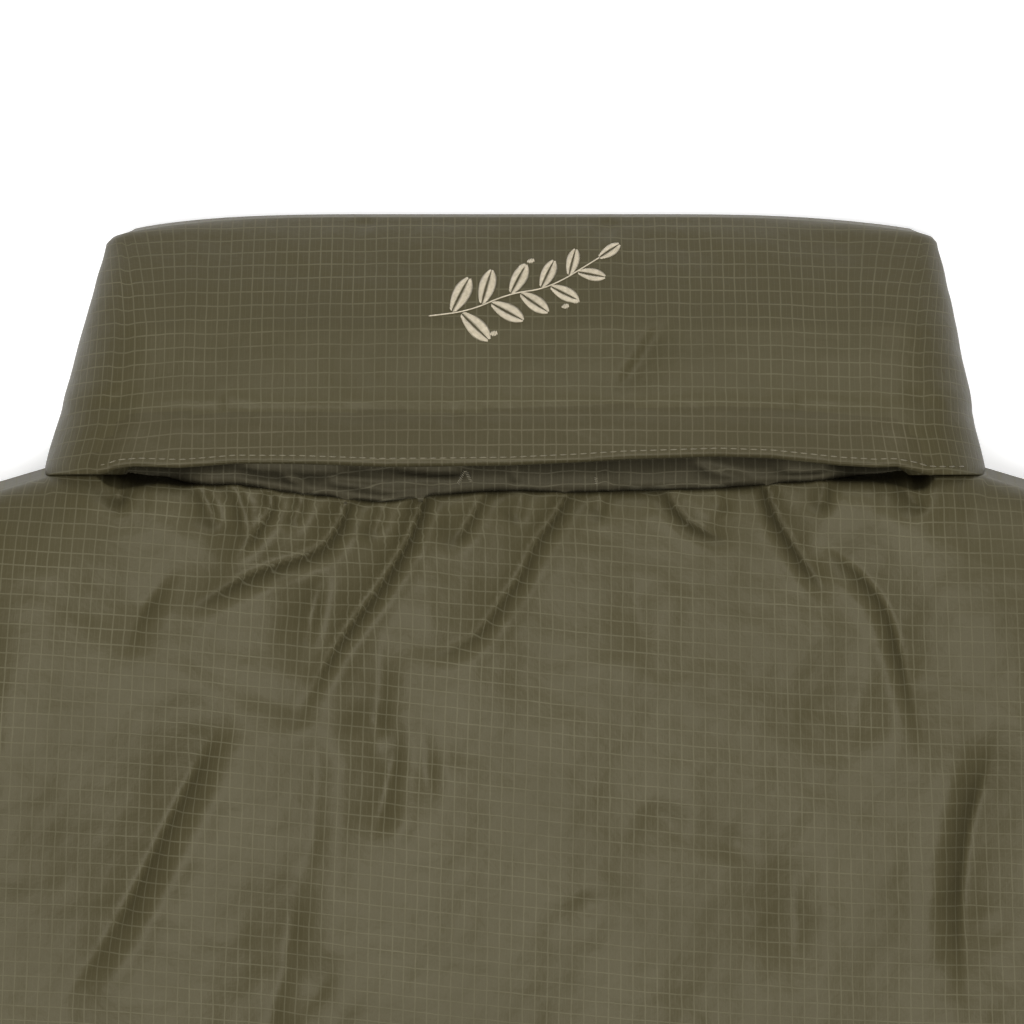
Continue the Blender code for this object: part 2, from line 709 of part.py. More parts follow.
def zip_tape(name, side):
    """One side of the zip: its tape with the closed chain's half on its edge."""
    near, far = CHAIN_GAP, CHAIN_GAP + CHAIN_WIDTH
    section = (
        (near, CHAIN_LOW + CHAIN_BEVEL),
        (near + CHAIN_BEVEL, CHAIN_LOW),
        (far - CHAIN_BEVEL, CHAIN_LOW),
        (far, TAPE_LOW),
        (TAPE_OUTER, TAPE_LOW),
        (TAPE_OUTER, TAPE_HIGH),
        (far, TAPE_HIGH),
        (far - CHAIN_BEVEL, CHAIN_HIGH),
        (near + CHAIN_BEVEL, CHAIN_HIGH),
        (near, CHAIN_HIGH - CHAIN_BEVEL),
    )
    top = SLIDER_TOP_Y - SLIDER_NOSE - CLEARANCE
    low = BOX_LENGTH + 2.0 + CLEARANCE - BODY_LENGTH
    tape = flat_outline(name, [[(side * x, z) for x, z in section]], top - low, "tape")
    tape.rotation_euler = (math.pi / 2, 0.0, 0.0)
    tape.location = world(0.0, (top + low) / 2, 0.0)
    return tape


def zip_slider():
    """The slider: two plates over and under the chain, joined at its nose, with a bridge for the pull."""
    low = CHAIN_LOW - CLEARANCE
    high = CHAIN_HIGH + CLEARANCE
    tail = SLIDER_TOP_Y - SLIDER_LENGTH
    nose = SLIDER_TOP_Y - SLIDER_NOSE
    clasp = (
        (tail, low - SLIDER_PLATE),
        (SLIDER_TOP_Y, low - SLIDER_PLATE),
        (SLIDER_TOP_Y, high + SLIDER_PLATE),
        (tail, high + SLIDER_PLATE),
        (tail, high),
        (nose, high),
        (nose, low),
        (tail, low),
    )
    centre = pull_axis_y()
    reach, bar = BRIDGE_HALF_LENGTH, BRIDGE_BAR
    roof = low - SLIDER_PLATE
    bridge = (
        (centre - reach, BRIDGE_LOW),
        (centre + reach, BRIDGE_LOW),
        (centre + reach, roof + 0.2),
        (centre + reach - bar, roof + 0.2),
        (centre + reach - bar, BRIDGE_LOW + bar),
        (centre - reach + bar, BRIDGE_LOW + bar),
        (centre - reach + bar, roof + 0.2),
        (centre - reach, roof + 0.2),
    )
    slider = upright_outline("zip_slider", clasp, 2 * SLIDER_HALF_WIDTH)
    arch = upright_outline("zip_slider_bridge", bridge, 2 * BRIDGE_HALF_WIDTH)
    cutters = bpy.data.collections["cutters"]
    bpy.data.collections[JACKET].objects.unlink(arch)
    cutters.objects.link(arch)
    arch.hide_render = True
    arch.display_type = "WIRE"
    join = slider.modifiers.new("bridge", "BOOLEAN")
    join.operation = "UNION"
    join.object = arch
    return slider


def upright_outline(name, points, width):
    """A mesh piece with this outline in the YZ plane, as wide as this across the zip."""
    obj = flat_outline(name, [[(y, z) for y, z in points]], width, "zip_metal")
    obj.rotation_euler = (math.pi / 2, 0.0, math.pi / 2)
    obj.location = world(0.0, 0.0, 0.0)
    bpy.context.view_layer.update()
    evaluated = obj.evaluated_get(bpy.context.evaluated_depsgraph_get())
    mesh = bpy.data.meshes.new_from_object(evaluated)
    mesh.transform(obj.matrix_world)
    curve = obj.data
    bpy.data.objects.remove(obj)
    bpy.data.curves.remove(curve)
    shape = bmesh.new()
    shape.from_mesh(mesh)
    bmesh.ops.remove_doubles(shape, verts=shape.verts, dist=0.01 * MM)
    bmesh.ops.recalc_face_normals(shape, faces=shape.faces)
    shape.to_mesh(mesh)
    shape.free()
    mesh.materials.clear()
    mesh.name = name
    return keep(bpy.data.objects.new(name, mesh), "zip_metal")


def pull_axis_y():
    """The pull's hinge, in the middle of the slider's bridge."""
    return SLIDER_TOP_Y - SLIDER_LENGTH / 2


def zip_pull():
    """The pull tab, hung from the bridge, with its origin on its hinge."""
    half_bar = 0.5
    top, end = PULL_TOP_WIDTH / 2, PULL_END_WIDTH / 2
    straight = PULL_LENGTH - end
    edge = [(-top, half_bar), (-end, -straight)]
    edge += [(-end * math.cos(a), -straight - end * math.sin(a)) for a in np.linspace(0.3, math.pi - 0.3, 7)]
    edge += [(end, -straight), (top, half_bar)]
    window = [
        (-PULL_WINDOW_HALF, -half_bar),
        (PULL_WINDOW_HALF, -half_bar),
        (PULL_WINDOW_HALF, -PULL_WINDOW_END),
        (-PULL_WINDOW_HALF, -PULL_WINDOW_END),
    ]
    pull = flat_outline("zip_pull", [edge, window], PULL_THICKNESS, "zip_metal")
    pull.location = world(0.0, pull_axis_y(), PULL_AXIS_Z)
    return pull


def zip_box():
    """The block at the foot of the zip that holds its two ends together."""
    size = (2 * BOX_HALF_WIDTH * MM, BOX_LENGTH * MM, (BOX_HIGH - BOX_LOW) * MM)
    shape = bmesh.new()
    bmesh.ops.create_cube(shape, size=1.0)
    bmesh.ops.scale(shape, vec=size, verts=shape.verts)
    centre = world(0.0, BOX_LENGTH / 2 + 2.0 - BODY_LENGTH, (BOX_LOW + BOX_HIGH) / 2)
    bmesh.ops.translate(shape, vec=centre, verts=shape.verts)
    box = from_bmesh("zip_box", shape, "zip_metal")
    bevel = box.modifiers.new("soft_edges", "BEVEL")
    bevel.width = 0.8 * MM
    bevel.segments = 2
    return box


def main():
    """Builds every piece of the jacket in an empty scene."""
    for obj in list(bpy.data.objects):
        bpy.data.objects.remove(obj)
    for name in (JACKET, "cutters"):
        bpy.context.scene.collection.children.link(bpy.data.collections.new(name))
    back_panel()
    for name, side in (("left", -1), ("right", 1)):
        front_panel(f"front_{name}", side)
        sleeve(f"sleeve_{name}", side)
        zip_tape(f"zip_tape_{name}", side)
    collar()
    hood_pocket_facing()
    zip_slider()
    zip_pull()
    zip_box()


main()
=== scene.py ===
"""The looks of a padded ripstop jacket that lies flat with its back up.

Lengths are in millimetres, measured from the centre line and from the seam under the collar, and
become metres as each mesh is made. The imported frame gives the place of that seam.
"""

from __future__ import annotations

import logging
import math
from dataclasses import dataclass, field
from enum import Enum
from typing import Callable, Sequence

import bpy
import numpy as np
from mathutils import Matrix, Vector


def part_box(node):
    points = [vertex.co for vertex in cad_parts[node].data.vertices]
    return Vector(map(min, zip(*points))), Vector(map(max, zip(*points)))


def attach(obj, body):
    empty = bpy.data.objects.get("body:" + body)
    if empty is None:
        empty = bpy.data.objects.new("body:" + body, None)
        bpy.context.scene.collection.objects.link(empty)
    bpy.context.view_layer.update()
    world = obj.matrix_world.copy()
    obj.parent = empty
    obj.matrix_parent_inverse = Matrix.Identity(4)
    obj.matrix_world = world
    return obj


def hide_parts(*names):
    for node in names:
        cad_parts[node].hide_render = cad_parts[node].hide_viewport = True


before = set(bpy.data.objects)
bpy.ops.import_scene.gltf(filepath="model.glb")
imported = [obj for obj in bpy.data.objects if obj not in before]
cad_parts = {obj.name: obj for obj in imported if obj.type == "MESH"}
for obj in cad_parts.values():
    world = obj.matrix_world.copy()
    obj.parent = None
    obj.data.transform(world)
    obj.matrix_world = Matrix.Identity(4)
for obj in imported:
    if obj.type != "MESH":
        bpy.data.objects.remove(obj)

log = logging.getLogger("jacket")

MM = 0.001
ROOT = "root"
CUT_MAP = "cut"
WHITE = (0.97, 0.97, 0.97, 1.0)
Array = np.ndarray


# --------------------------------------------------------------------------------------------------
# Shapes: small functions on arrays
# --------------------------------------------------------------------------------------------------


def blend(low: Array, high: Array, share: Array) -> Array:
    """The value that lies a share of the way from low to high."""
    return low + (high - low) * share


def ease(value: Array) -> Array:
    """A share from 0 to 1 that starts and ends gently."""
    share = np.clip(value, 0.0, 1.0)
    return share * share * (3.0 - 2.0 * share)


def round_off(distance: Array, radius: float) -> Array:
    """A quarter circle's rise: 0 at an edge and 1 from the radius on."""
    share = np.clip(distance / radius, 0.0, 1.0)
    return np.sqrt(1.0 - (1.0 - share) ** 2)


def wave_down(value: Array, start: float, end: float) -> Array:
    """1 up to the start and 0 from the end on, with half a cosine between them."""
    share = np.clip((value - start) / (end - start), 0.0, 1.0)
    return 0.5 * (1.0 + np.cos(np.pi * share))


def bell(value: Array) -> Array:
    """A smooth bump of height 1 round 0."""
    return np.exp(-value * value)


def bezier(points: Sequence[Sequence[float]], share: Array) -> Array:
    """Points on the Bezier curve with these control points, one row for each share."""
    share = np.asarray(share, float)[..., None]
    rest = [np.broadcast_to(np.array(point, float), (*share.shape[:-1], 2)) for point in points]
    while len(rest) > 1:
        rest = [blend(a, b, share) for a, b in zip(rest[:-1], rest[1:], strict=True)]
    return rest[0]


def unit(rows: Array) -> Array:
    """The same directions, one a row, with a length of 1."""
    return rows / np.linalg.norm(rows, axis=1, keepdims=True)


def ways_along(run: Array) -> Array:
    """How far along a run each of its points lies."""
    return np.concatenate(((0.0,), np.cumsum(np.linalg.norm(np.diff(run, axis=0), axis=1))))


def rounded_run(points: Sequence[Sequence[float]], rounds: int = 3) -> Array:
    """A run of points with its corners cut off again and again, and its two ends kept."""
    run = np.array(points, float)
    for _ in range(rounds):
        step = np.diff(run, axis=0)
        cut = np.empty((2 * len(step), 2))
        cut[0::2], cut[1::2] = run[:-1] + step / 4, run[:-1] + step * 3 / 4
        run = np.vstack((run[:1], cut, run[-1:]))
    return run


def nearest_on_run(x: Array, y: Array, run: Array) -> tuple[Array, Array, Array]:
    """How places lie to a run of straight stretches.

    Args:
        x: The places' distances from the centre line.
        y: The places' heights above the collar seam.
        run: The run's points.

    Returns:
        Each place's distance from the run, its share along it, and its side: 1 left of it, -1 right
        of it and between them past its ends.
    """
    best = np.full(np.shape(x), np.inf)
    along, side = np.zeros_like(best), np.ones_like(best)
    before = ways_along(run)
    for k, length in enumerate(np.diff(before)):
        step = (run[k + 1] - run[k]) / max(length, 1e-9)
        ahead = np.clip((x - run[k, 0]) * step[0] + (y - run[k, 1]) * step[1], 0.0, length)
        off_x, off_y = x - run[k, 0] - ahead * step[0], y - run[k, 1] - ahead * step[1]
        away = np.hypot(off_x, off_y)
        closer = away < best
        best = np.where(closer, away, best)
        along = np.where(closer, (before[k] + ahead) / before[-1], along)
        side = np.where(closer, (step[0] * off_y - step[1] * off_x) / np.maximum(away, 1e-9), side)
    return best, along, side


def ripples(x: Array, y: Array, scale: float, seed: int, waves: int = 9) -> Array:
    """Soft uneven waves between about -1 and 1, the same each time for a seed."""
    draw = np.random.default_rng(seed)
    total = np.zeros(np.broadcast(x, y).shape)
    for _ in range(waves):
        turn, phase, stretch = draw.uniform(0, math.tau), draw.uniform(0, math.tau), draw.uniform(0.7, 1.5)
        reach = math.tau / (scale * stretch)
        total += np.sin(reach * (math.cos(turn) * x + math.sin(turn) * y) + phase)
    return total / math.sqrt(2.0 * waves)


def arc_drift(places: Array, axis: int, calm: float) -> Array:
    """How far a cloth's threads shift where it runs up and down, without the drift far away.

    Args:
        places: The surface as a grid of places.
        axis: The grid's axis that the threads are counted along.
        calm: The distance over which the shift is evened out.

    Returns:
        The shift at each place of the grid.
    """
    step = np.diff(places, axis=axis)
    plan = np.hypot(step[..., 0], step[..., 1])
    extra = np.cumsum(np.linalg.norm(step, axis=-1) - plan, axis=axis)
    pad = [(0, 0), (0, 0)]
    pad[axis] = (1, 0)
    extra, width = np.pad(extra, pad), max(3, int(calm / max(float(np.median(plan)), 0.1)))
    kernel = np.hanning(2 * width + 1)
    kernel /= kernel.sum()
    edge = [(0, 0), (0, 0)]
    edge[axis] = (width, width)
    padded = np.pad(extra, edge, mode="reflect", reflect_type="odd")
    smooth = np.apply_along_axis(lambda row: np.convolve(row, kernel, mode="valid"), axis, padded)
    return extra - smooth


@dataclass(frozen=True)
class Fold:
    """A fold or crease in a panel.

    Attributes:
        run: The places that its bottom goes by, from its strong end on.
        width: Half the width of its hollow.
        depth: How far its bottom lies below the cloth beside it.
        edge: How much of its depth drops at once, as in a pressed crease.
        lean: How much steeper it is on the run's left side than on its right.
        from_seam: Whether it starts at full depth, because a seam gathers it.
    """

    run: tuple[tuple[float, float], ...]
    width: float
    depth: float
    edge: float = 0.0
    lean: float = 0.0
    from_seam: bool = False

    def hollow(self, x: Array, y: Array) -> Array:
        """How far this fold pulls the surface down at each place."""
        run = rounded_run(self.run)
        away, along, side = nearest_on_run(x, y, run)
        length = ways_along(run)[-1]
        stub = 1.3 * self.width / length
        skew = math.copysign(0.5 + 0.5 * abs(self.lean), self.lean)
        across = away / (self.width * (1.0 - skew * side))
        start = 1.0 if self.from_seam else ease(along / max(0.25, min(0.6, 2.0 * stub)))
        strength = self.depth * start * ease((1.0 - along) / max(0.45, min(1.0, stub)))
        soft = np.exp(-1.1 * across**1.35) - 0.16 * bell((across - 2.1) / 0.9)
        edge = self.edge + (0.45 * bell(along * length / 16.0) if self.from_seam else 0.0)
        return strength * (soft + edge * np.exp(-3.2 * across**1.2))


def hollows(folds: Sequence[Fold], x: Array, y: Array) -> Array:
    """How far all the folds together pull the surface down at each place."""
    return sum((fold.hollow(x, y) for fold in folds), np.zeros(np.shape(x)))


# --------------------------------------------------------------------------------------------------
# The pattern: the outlines that all the pieces share
# --------------------------------------------------------------------------------------------------


@dataclass(frozen=True)
class Pattern:
    """The jacket's outline laid flat, and the height where its lower layer meets its upper one.

    Attributes:
        mouth: The hood pocket's mouth: places across, the collar's free edge and the gathered edge.
        collar_y: Heights up the collar, where its left and right edges and its top surface are given.
    """

    collar_height: float = 75.0
    body_length: float = 685.0
    neck_side: tuple[float, float] = (142.0, -3.0)
    shoulder_end: tuple[float, float] = (250.0, -35.0)
    armhole_bends: tuple[tuple[float, float], ...] = ((236.0, -112.0), (236.0, -228.0))
    underarm: tuple[float, float] = (300.0, -290.0)
    waist: tuple[float, float] = (287.0, -480.0)
    hem_side: tuple[float, float] = (286.0, -681.0)
    low_middle: float = 13.0
    neck_middle: float = 28.5
    shared_x: tuple[float, float] = (150.0, 265.0)
    shared_y: tuple[float, float] = (-10.0, -270.0)
    shared_side_share: float = 0.5
    seam_gap: float = 0.45
    seam_wall: float = 6.0
    edge_round: float = 36.0
    zip_step: tuple[float, float] = (6.1, 6.4)
    step_top: float = 8.8
    channel_top: float = 4.0
    channel_round: float = 24.0
    front_neck_drop: float = 54.0
    front_neck_half: float = 112.0
    front_neck_side_y: float = -4.0
    pocket_floor: float = 42.0
    pocket_depth: float = 12.0
    pocket_closed_x: float = 127.5
    pocket_open_x: float = 124.5
    collar_y: tuple[float, ...] = (0, 12, 22, 32, 42, 54, 63, 71, 75)
    collar_left: tuple[float, ...] = (-143, -139.5, -137, -134.5, -132, -128.8, -126.7, -125.2, -124.8)
    collar_right: tuple[float, ...] = (142.5, 139.5, 138, 136, 134.5, 132, 130.5, 129.4, 129)
    collar_top: tuple[float, ...] = (57, 56, 52.8, 48.3, 42.8, 33.8, 26, 18.5, 14)
    mouth: tuple[tuple[float, float, float], ...] = (
        *((-143, -2.6, -3), (-126, -2.6, -3.2), (-123, -2.2, -5.8), (-119, -0.8, -7.2), (-113, -0.3, -6)),
        *((-107, -0.5, -5.2), (-100, -0.7, -6.2), (-84, 0.6, -6.3), (-65, 0.5, -9), (-40, -0.4, -11.6)),
        *((-25, -0.3, -9.3), (-2, 0, -8.1), (18, 0.9, -8.6), (32, 1.8, -8.1), (61, 2.7, -7.5)),
        *((77, 2.1, -6), (97, 0, -4.6), (107, -0.6, -4.6), (113, -0.4, -5.4), (119, -1.4, -7.4)),
        *((123, -2.6, -6.6), (126, -2.8, -3.4), (143, -2.6, -3)),
    )

    @property
    def seam_y(self) -> float:
        """The collar seam's place above the frame's origin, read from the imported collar."""
        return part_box("collar")[1].y / MM - self.collar_height

    @property
    def armhole_share(self) -> float:
        """How far down a panel's side the armhole ends."""
        return (self.shoulder_end[1] - self.underarm[1]) / (self.shoulder_end[1] - self.hem_side[1])

    def metres(self, places: Array) -> Array:
        """Places in metres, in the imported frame."""
        return (np.asarray(places, float) + np.array((0.0, self.seam_y, 0.0))) * MM

    def armhole(self, share: Array) -> Array:
        """Points on the wearer's right armhole, from the shoulder's end to the underarm."""
        return bezier((self.shoulder_end, *self.armhole_bends, self.underarm), share)

    def side(self, share: Array) -> Array:
        """Points on the wearer's right edge, from the shoulder's end down to the hem."""
        share, turn = np.asarray(share, float), self.armhole_share
        upper = self.armhole(np.clip(share / turn, 0, 1))
        lower = bezier((self.underarm, self.waist, self.hem_side), np.clip((share - turn) / (1 - turn), 0, 1))
        return np.where((share <= turn)[..., None], upper, lower)

    def shoulder_y(self, x: Array) -> Array:
        """The shoulder seam's place."""
        share = (np.abs(x) - self.neck_side[0]) / (self.shoulder_end[0] - self.neck_side[0])
        return blend(self.neck_side[1], self.shoulder_end[1], share)

    def hem_y(self, x: Array) -> Array:
        """The hem's place, a little higher at the sides."""
        return blend(-self.body_length, self.hem_side[1], (x / self.hem_side[0]) ** 2)

    def lip(self, x: Array) -> Array:
        """The collar's free lower edge."""
        across, lip, _ = np.transpose(self.mouth)
        return np.interp(x, across, lip)

    def gather(self, x: Array) -> Array:
        """The back's gathered top edge."""
        across, _, gather = np.transpose(self.mouth)
        return np.interp(x, across, gather)

    def back_top(self, x: Array) -> Array:
        """The back's top edge: the gathered edge, then the shoulder seam."""
        return np.where(np.abs(x) >= self.neck_side[0], self.shoulder_y(x), self.gather(x))

    def front_neck(self, x: Array) -> Array:
        """A front's neckline, which dips to the zip."""
        share = np.minimum(1.0, np.abs(x) / self.front_neck_half)
        return self.front_neck_side_y - self.front_neck_drop * np.cos(np.pi / 2 * share) ** 2

    def front_top(self, x: Array) -> Array:
        """A front's top edge: the neckline, then the shoulder seam."""
        beyond = np.minimum(self.front_neck(x), self.shoulder_y(x))
        return np.where(np.abs(x) >= self.neck_side[0], beyond, self.front_neck(x))

    def collar_at(self, y: Array, values: Sequence[float]) -> Array:
        """One of the collar's lines at a height above the seam."""
        return np.interp(np.maximum(y, 0.0), self.collar_y, values)

    def middle(self, x: Array, y: Array) -> Array:
        """The height where the lower layer ends and the upper layer starts."""
        down = wave_down(y, *self.shared_y)
        aside = blend(self.shared_side_share, 1.0, wave_down(np.abs(x), *self.shared_x))
        body = self.low_middle + (self.neck_middle - self.low_middle) * down * aside
        return np.where(np.asarray(y) >= 0, self.collar_at(y, self.collar_top) / 2, body)

    def channel(self, x: Array) -> Array:
        """How high the underside lies over the zip's tapes and, beside them, over the table."""
        beside = self.channel_top * (1 - ease((np.abs(x) - self.zip_step[1]) / self.channel_round))
        return np.where(np.abs(x) < self.zip_step[1] - 0.05, self.step_top, beside)

    def mouth_open(self, x: Array) -> Array:
        """How far the hood pocket's mouth is open, from 0 at its ends to 1."""
        return ease((self.pocket_closed_x - np.abs(x)) / (self.pocket_closed_x - self.pocket_open_x))

    def to_seams(self, x: Array, y: Array, sides: Sequence[int]) -> Array:
        """How far each place is from the nearest outer seam of a panel."""
        shoulder = bezier((self.neck_side, self.shoulder_end), np.linspace(0, 1, 3))
        across = np.linspace(0, self.hem_side[0], 13)
        hem = np.column_stack((across, self.hem_y(across)))
        runs = (shoulder, self.side(np.linspace(0, 1, 61)), hem)
        flips = [np.array((side, 1.0)) for side in sides]
        return np.min([nearest_on_run(x, y, run * flip)[0] for run in runs for flip in flips], axis=0)


# --------------------------------------------------------------------------------------------------
# Meshes: closed skins from grids of places
# --------------------------------------------------------------------------------------------------


def grid_quads(rows: int, columns: int, wrap: bool = False) -> Array:
    """The quads between neighbours of a grid whose points are numbered row by row."""
    index = np.arange(rows * columns).reshape(rows, columns)
    if wrap:
        index = np.hstack((index, index[:, :1]))
    corners = (index[:-1, :-1], index[1:, :-1], index[1:, 1:], index[:-1, 1:])
    return np.stack([corner.ravel() for corner in corners], axis=1)


def put(name: str, data: bpy.types.ID) -> bpy.types.Object:
    """A new object in the scene."""
    obj = bpy.data.objects.new(name, data)
    bpy.context.scene.collection.objects.link(obj)
    return obj


def skin(name: str, places: Array, faces: Sequence[Sequence[int]], cut: Array) -> bpy.types.Object:
    """A smooth object with these faces and a cut map."""
    mesh = bpy.data.meshes.new(name)
    mesh.from_pydata(places, [], faces)
    corners = np.empty(len(mesh.loops), np.int32)
    mesh.loops.foreach_get("vertex_index", corners)
    mesh.uv_layers.new(name=CUT_MAP).data.foreach_set("uv", cut[corners].ravel())
    mesh.shade_smooth()
    mesh.validate()
    return put(name, mesh)


def panel(
    name: str,
    outer: Array,
    inner: Array,
    cut: Array,
    hidden: tuple[int, int],
    tuck: float = 1.4,
    reaches: dict[str, Array] | None = None,
) -> bpy.types.Object:
    """A closed padded panel: a fine outer grid, a wall round it, and a coarse inner side.

    Args:
        name: The object's name.
        outer: The outer side's grid of places, in millimetres.
        inner: The inner side's grid, of the same shape.
        cut: Where each outer place lies in the flat cut cloth.
        hidden: How many rows and columns of cells the inner side keeps.
        tuck: How far the wall's foot is drawn in, as a seam draws it.
        reaches: How far single edges' feet are drawn in instead, point by point. Where it is less
            than 0, the foot reaches out under the next piece.

    Returns:
        The object, with the outer side facing out.
    """
    rows, columns = outer.shape[:2]
    foot = inner.copy()
    every = slice(None)
    edges = {
        "top": ((0,), (1,)),
        "foot": ((-1,), (-2,)),
        "first": ((every, 0), (every, 1)),
        "last": ((every, -1), (every, -2)),
    }
    for edge, (here, beside) in edges.items():
        pull = outer[beside] - outer[here]
        reach = np.reshape((reaches or {}).get(edge, tuck), (-1, 1))
        foot[here] += reach * pull / np.linalg.norm(pull[..., :2], axis=-1, keepdims=True) * (1, 1, 0)
    row_stops = np.unique(np.linspace(0, rows - 1, hidden[0] + 1).astype(int))
    column_stops = np.unique(np.linspace(0, columns - 1, hidden[1] + 1).astype(int))
    kept = np.zeros((rows, columns), bool)
    kept[(0, -1), :] = kept[:, (0, -1)] = kept[np.ix_(row_stops, column_stops)] = True
    number = np.full((rows, columns), -1)
    number[kept] = rows * columns + np.arange(kept.sum())
    faces = grid_quads(rows, columns).tolist()
    top = np.arange(rows * columns).reshape(rows, columns)
    ring = [(0, i) for i in range(columns)] + [(j, columns - 1) for j in range(1, rows)]
    ring += [(rows - 1, i) for i in range(columns - 2, -1, -1)] + [(j, 0) for j in range(rows - 2, 0, -1)]
    for here, there in zip(ring, ring[1:] + ring[:1], strict=True):
        faces.append([int(top[here]), int(top[there]), int(number[there]), int(number[here])])
    for upper, lower in zip(row_stops[:-1], row_stops[1:], strict=True):
        for left, right in zip(column_stops[:-1], column_stops[1:], strict=True):
            path = [(upper, i) for i in (range(left, right) if upper == 0 else (left,))]
            path += [(j, right) for j in (range(upper, lower) if right == columns - 1 else (upper,))]
            path += [(lower, i) for i in (range(right, left, -1) if lower == rows - 1 else (right,))]
            path += [(j, left) for j in (range(lower, upper, -1) if left == 0 else (lower,))]
            faces.append([int(number[step]) for step in path])
    if outer[..., 2].mean() < inner[..., 2].mean():
        faces = [face[::-1] for face in faces]
    places = PATTERN.metres(np.vstack((outer.reshape(-1, 3), foot[kept])))
    return skin(name, places, faces, np.vstack((cut.reshape(-1, 2), cut[kept])))


def loft(name: str, sections: Array, cut: Array, ring: bool) -> bpy.types.Object:
    """A closed skin through closed sections."""
    count, around = sections.shape[:2]
    faces = grid_quads(count, around, wrap=True).tolist()
    if ring:
        last, first = (count - 1) * around, 0
        for k in range(around):
            n = (k + 1) % around
            faces.append([last + k, first + k, first + n, last + n])
    else:
        faces.append(list(range(around)))
        faces.append(list(range(count * around - 1, (count - 1) * around - 1, -1)))
    obj = skin(name, PATTERN.metres(sections.reshape(-1, 3)), faces, cut.reshape(-1, 2))
    ahead = cut[:, -1] - cut[:, -2]
    ahead /= np.maximum(np.linalg.norm(ahead, axis=-1, keepdims=True), 1e-9)
    onward = cut[:, -1] + ahead * np.linalg.norm(sections[:, 0] - sections[:, -1], axis=-1, keepdims=True)
    closing = obj.data.uv_layers[CUT_MAP].data
    for k in range(count - 1):
        corner = 4 * (k * around + around - 1)
        closing[corner + 2].uv, closing[corner + 3].uv = onward[k + 1], onward[k]
    return face_out(obj)


def face_out(obj: bpy.types.Object) -> bpy.types.Object:
    """Turns a closed mesh's faces outwards if it is inside out."""
    mesh = obj.data
    mesh.calc_loop_triangles()
    corners = np.empty(len(mesh.loop_triangles) * 3, np.int32)
    mesh.loop_triangles.foreach_get("vertices", corners)
    places = np.empty(len(mesh.vertices) * 3)
    mesh.vertices.foreach_get("co", places)
    a, b, c = places.reshape(-1, 3)[corners.reshape(-1, 3)].transpose(1, 0, 2)
    if np.einsum("ij,ij->i", a, np.cross(b, c)).sum() < 0:
        mesh.flip_normals()
    return obj


# --------------------------------------------------------------------------------------------------
# Shader maths as expressions
# --------------------------------------------------------------------------------------------------


class Value:
    """A socket's value in a material, so that maths on it reads as an expression."""

    def __init__(self, web: Web, socket: bpy.types.NodeSocket) -> None:
        """Wraps a socket of a web's node."""
        self.web = web
        self.socket = socket

    def _maths(self, operation: str, *values: Value | float) -> Value:
        """A Math node on these values, in this order."""
        sockets = {str(number): value for number, value in enumerate(values)}
        return self.web.node("ShaderNodeMath", {"operation": operation}, **sockets)

    def __add__(self, other: Value | float) -> Value:
        """The sum."""
        return self._maths("ADD", self, other)

    __radd__ = __add__

    def __sub__(self, other: Value | float) -> Value:
        """The difference."""
        return self._maths("SUBTRACT", self, other)

    def __rsub__(self, other: Value | float) -> Value:
        """The difference, from the other's side."""
        return self._maths("SUBTRACT", other, self)

    def __mul__(self, other: Value | float) -> Value:
        """The product."""
        return self._maths("MULTIPLY", self, other)

    __rmul__ = __mul__

    def __truediv__(self, other: Value | float) -> Value:
        """The quotient."""
        return self._maths("DIVIDE", self, other)

    def larger(self, other: Value | float) -> Value:
        """The larger of two values."""
        return self._maths("MAXIMUM", self, other)

    def wave(self, period: float) -> Value:
        """A triangle wave: 1 at each whole period and 0 halfway between."""
        return self._maths("PINGPONG", self._maths("ABSOLUTE", self / (period / 2.0) - 1.0e4), 1.0)

    def between(self, low: float, high: float) -> Value:
        """A smooth step from 0 at low to 1 at high."""
        settings, reach = {"interpolation_type": "SMOOTHSTEP"}, {"From Min": low, "From Max": high}
        return self.web.node("ShaderNodeMapRange", settings, Value=self, **reach)


class Web:
    """A material's nodes, made one call at a time."""

    def __init__(self, name: str) -> None:
        """Starts a material with a Principled shader and its output."""
        self.material = bpy.data.materials.new(name)
        self.material.use_nodes = True
        self.shader = self.material.node_tree.nodes["Principled BSDF"]

    def node(
        self, kind: str, settings: dict[str, object] | None = None, out: str | int = 0, **values: object
    ) -> Value:
        """A new node of any type.

        Args:
            kind: The node's type.
            settings: Its own settings, which are set first.
            out: The output that the result reads.
            **values: Numbers, colours or links for its sockets, by name or by number.

        Returns:
            The value of the node's output.
        """
        node = self.material.node_tree.nodes.new(kind)
        for setting, value in (settings or {}).items():
            setattr(node, setting, value)
        for socket, value in values.items():
            self.feed(node, int(socket) if socket.isdigit() else socket, value)
        return Value(self, node.outputs[out])

    def feed(self, node: bpy.types.Node, socket: str | int, value: object) -> None:
        """Links a value to a node's socket, or sets the socket to a number or colour."""
        if isinstance(value, Value):
            self.material.node_tree.links.new(value.socket, node.inputs[socket])
        else:
            node.inputs[socket].default_value = value

    def mix(self, share: Value, low: object, high: object) -> Value:
        """A colour that lies a share of the way from low to high."""
        settings = {"data_type": "RGBA"}
        return self.node("ShaderNodeMix", settings, out=2, **{"0": share, "6": low, "7": high})

    def axes(self, vector: Value) -> tuple[Value, Value]:
        """A vector's first two coordinates."""
        return tuple(self.node("ShaderNodeSeparateXYZ", out=axis, **{"0": vector}) for axis in (0, 1))

    def noise(self, vector: Value, scale: float, detail: float = 2.0, roughness: float = 0.5) -> Value:
        """Soft noise between 0 and 1."""
        return self.node("ShaderNodeTexNoise", Vector=vector, Scale=scale, Detail=detail, Roughness=roughness)

    def finish(self, **values: object) -> bpy.types.Material:
        """Feeds the Principled shader's sockets, spaces written as underscores."""
        for socket, value in values.items():
            self.feed(self.shader, socket.replace("_", " "), value)
        return self.material


Colour = tuple[float, float, float, float]


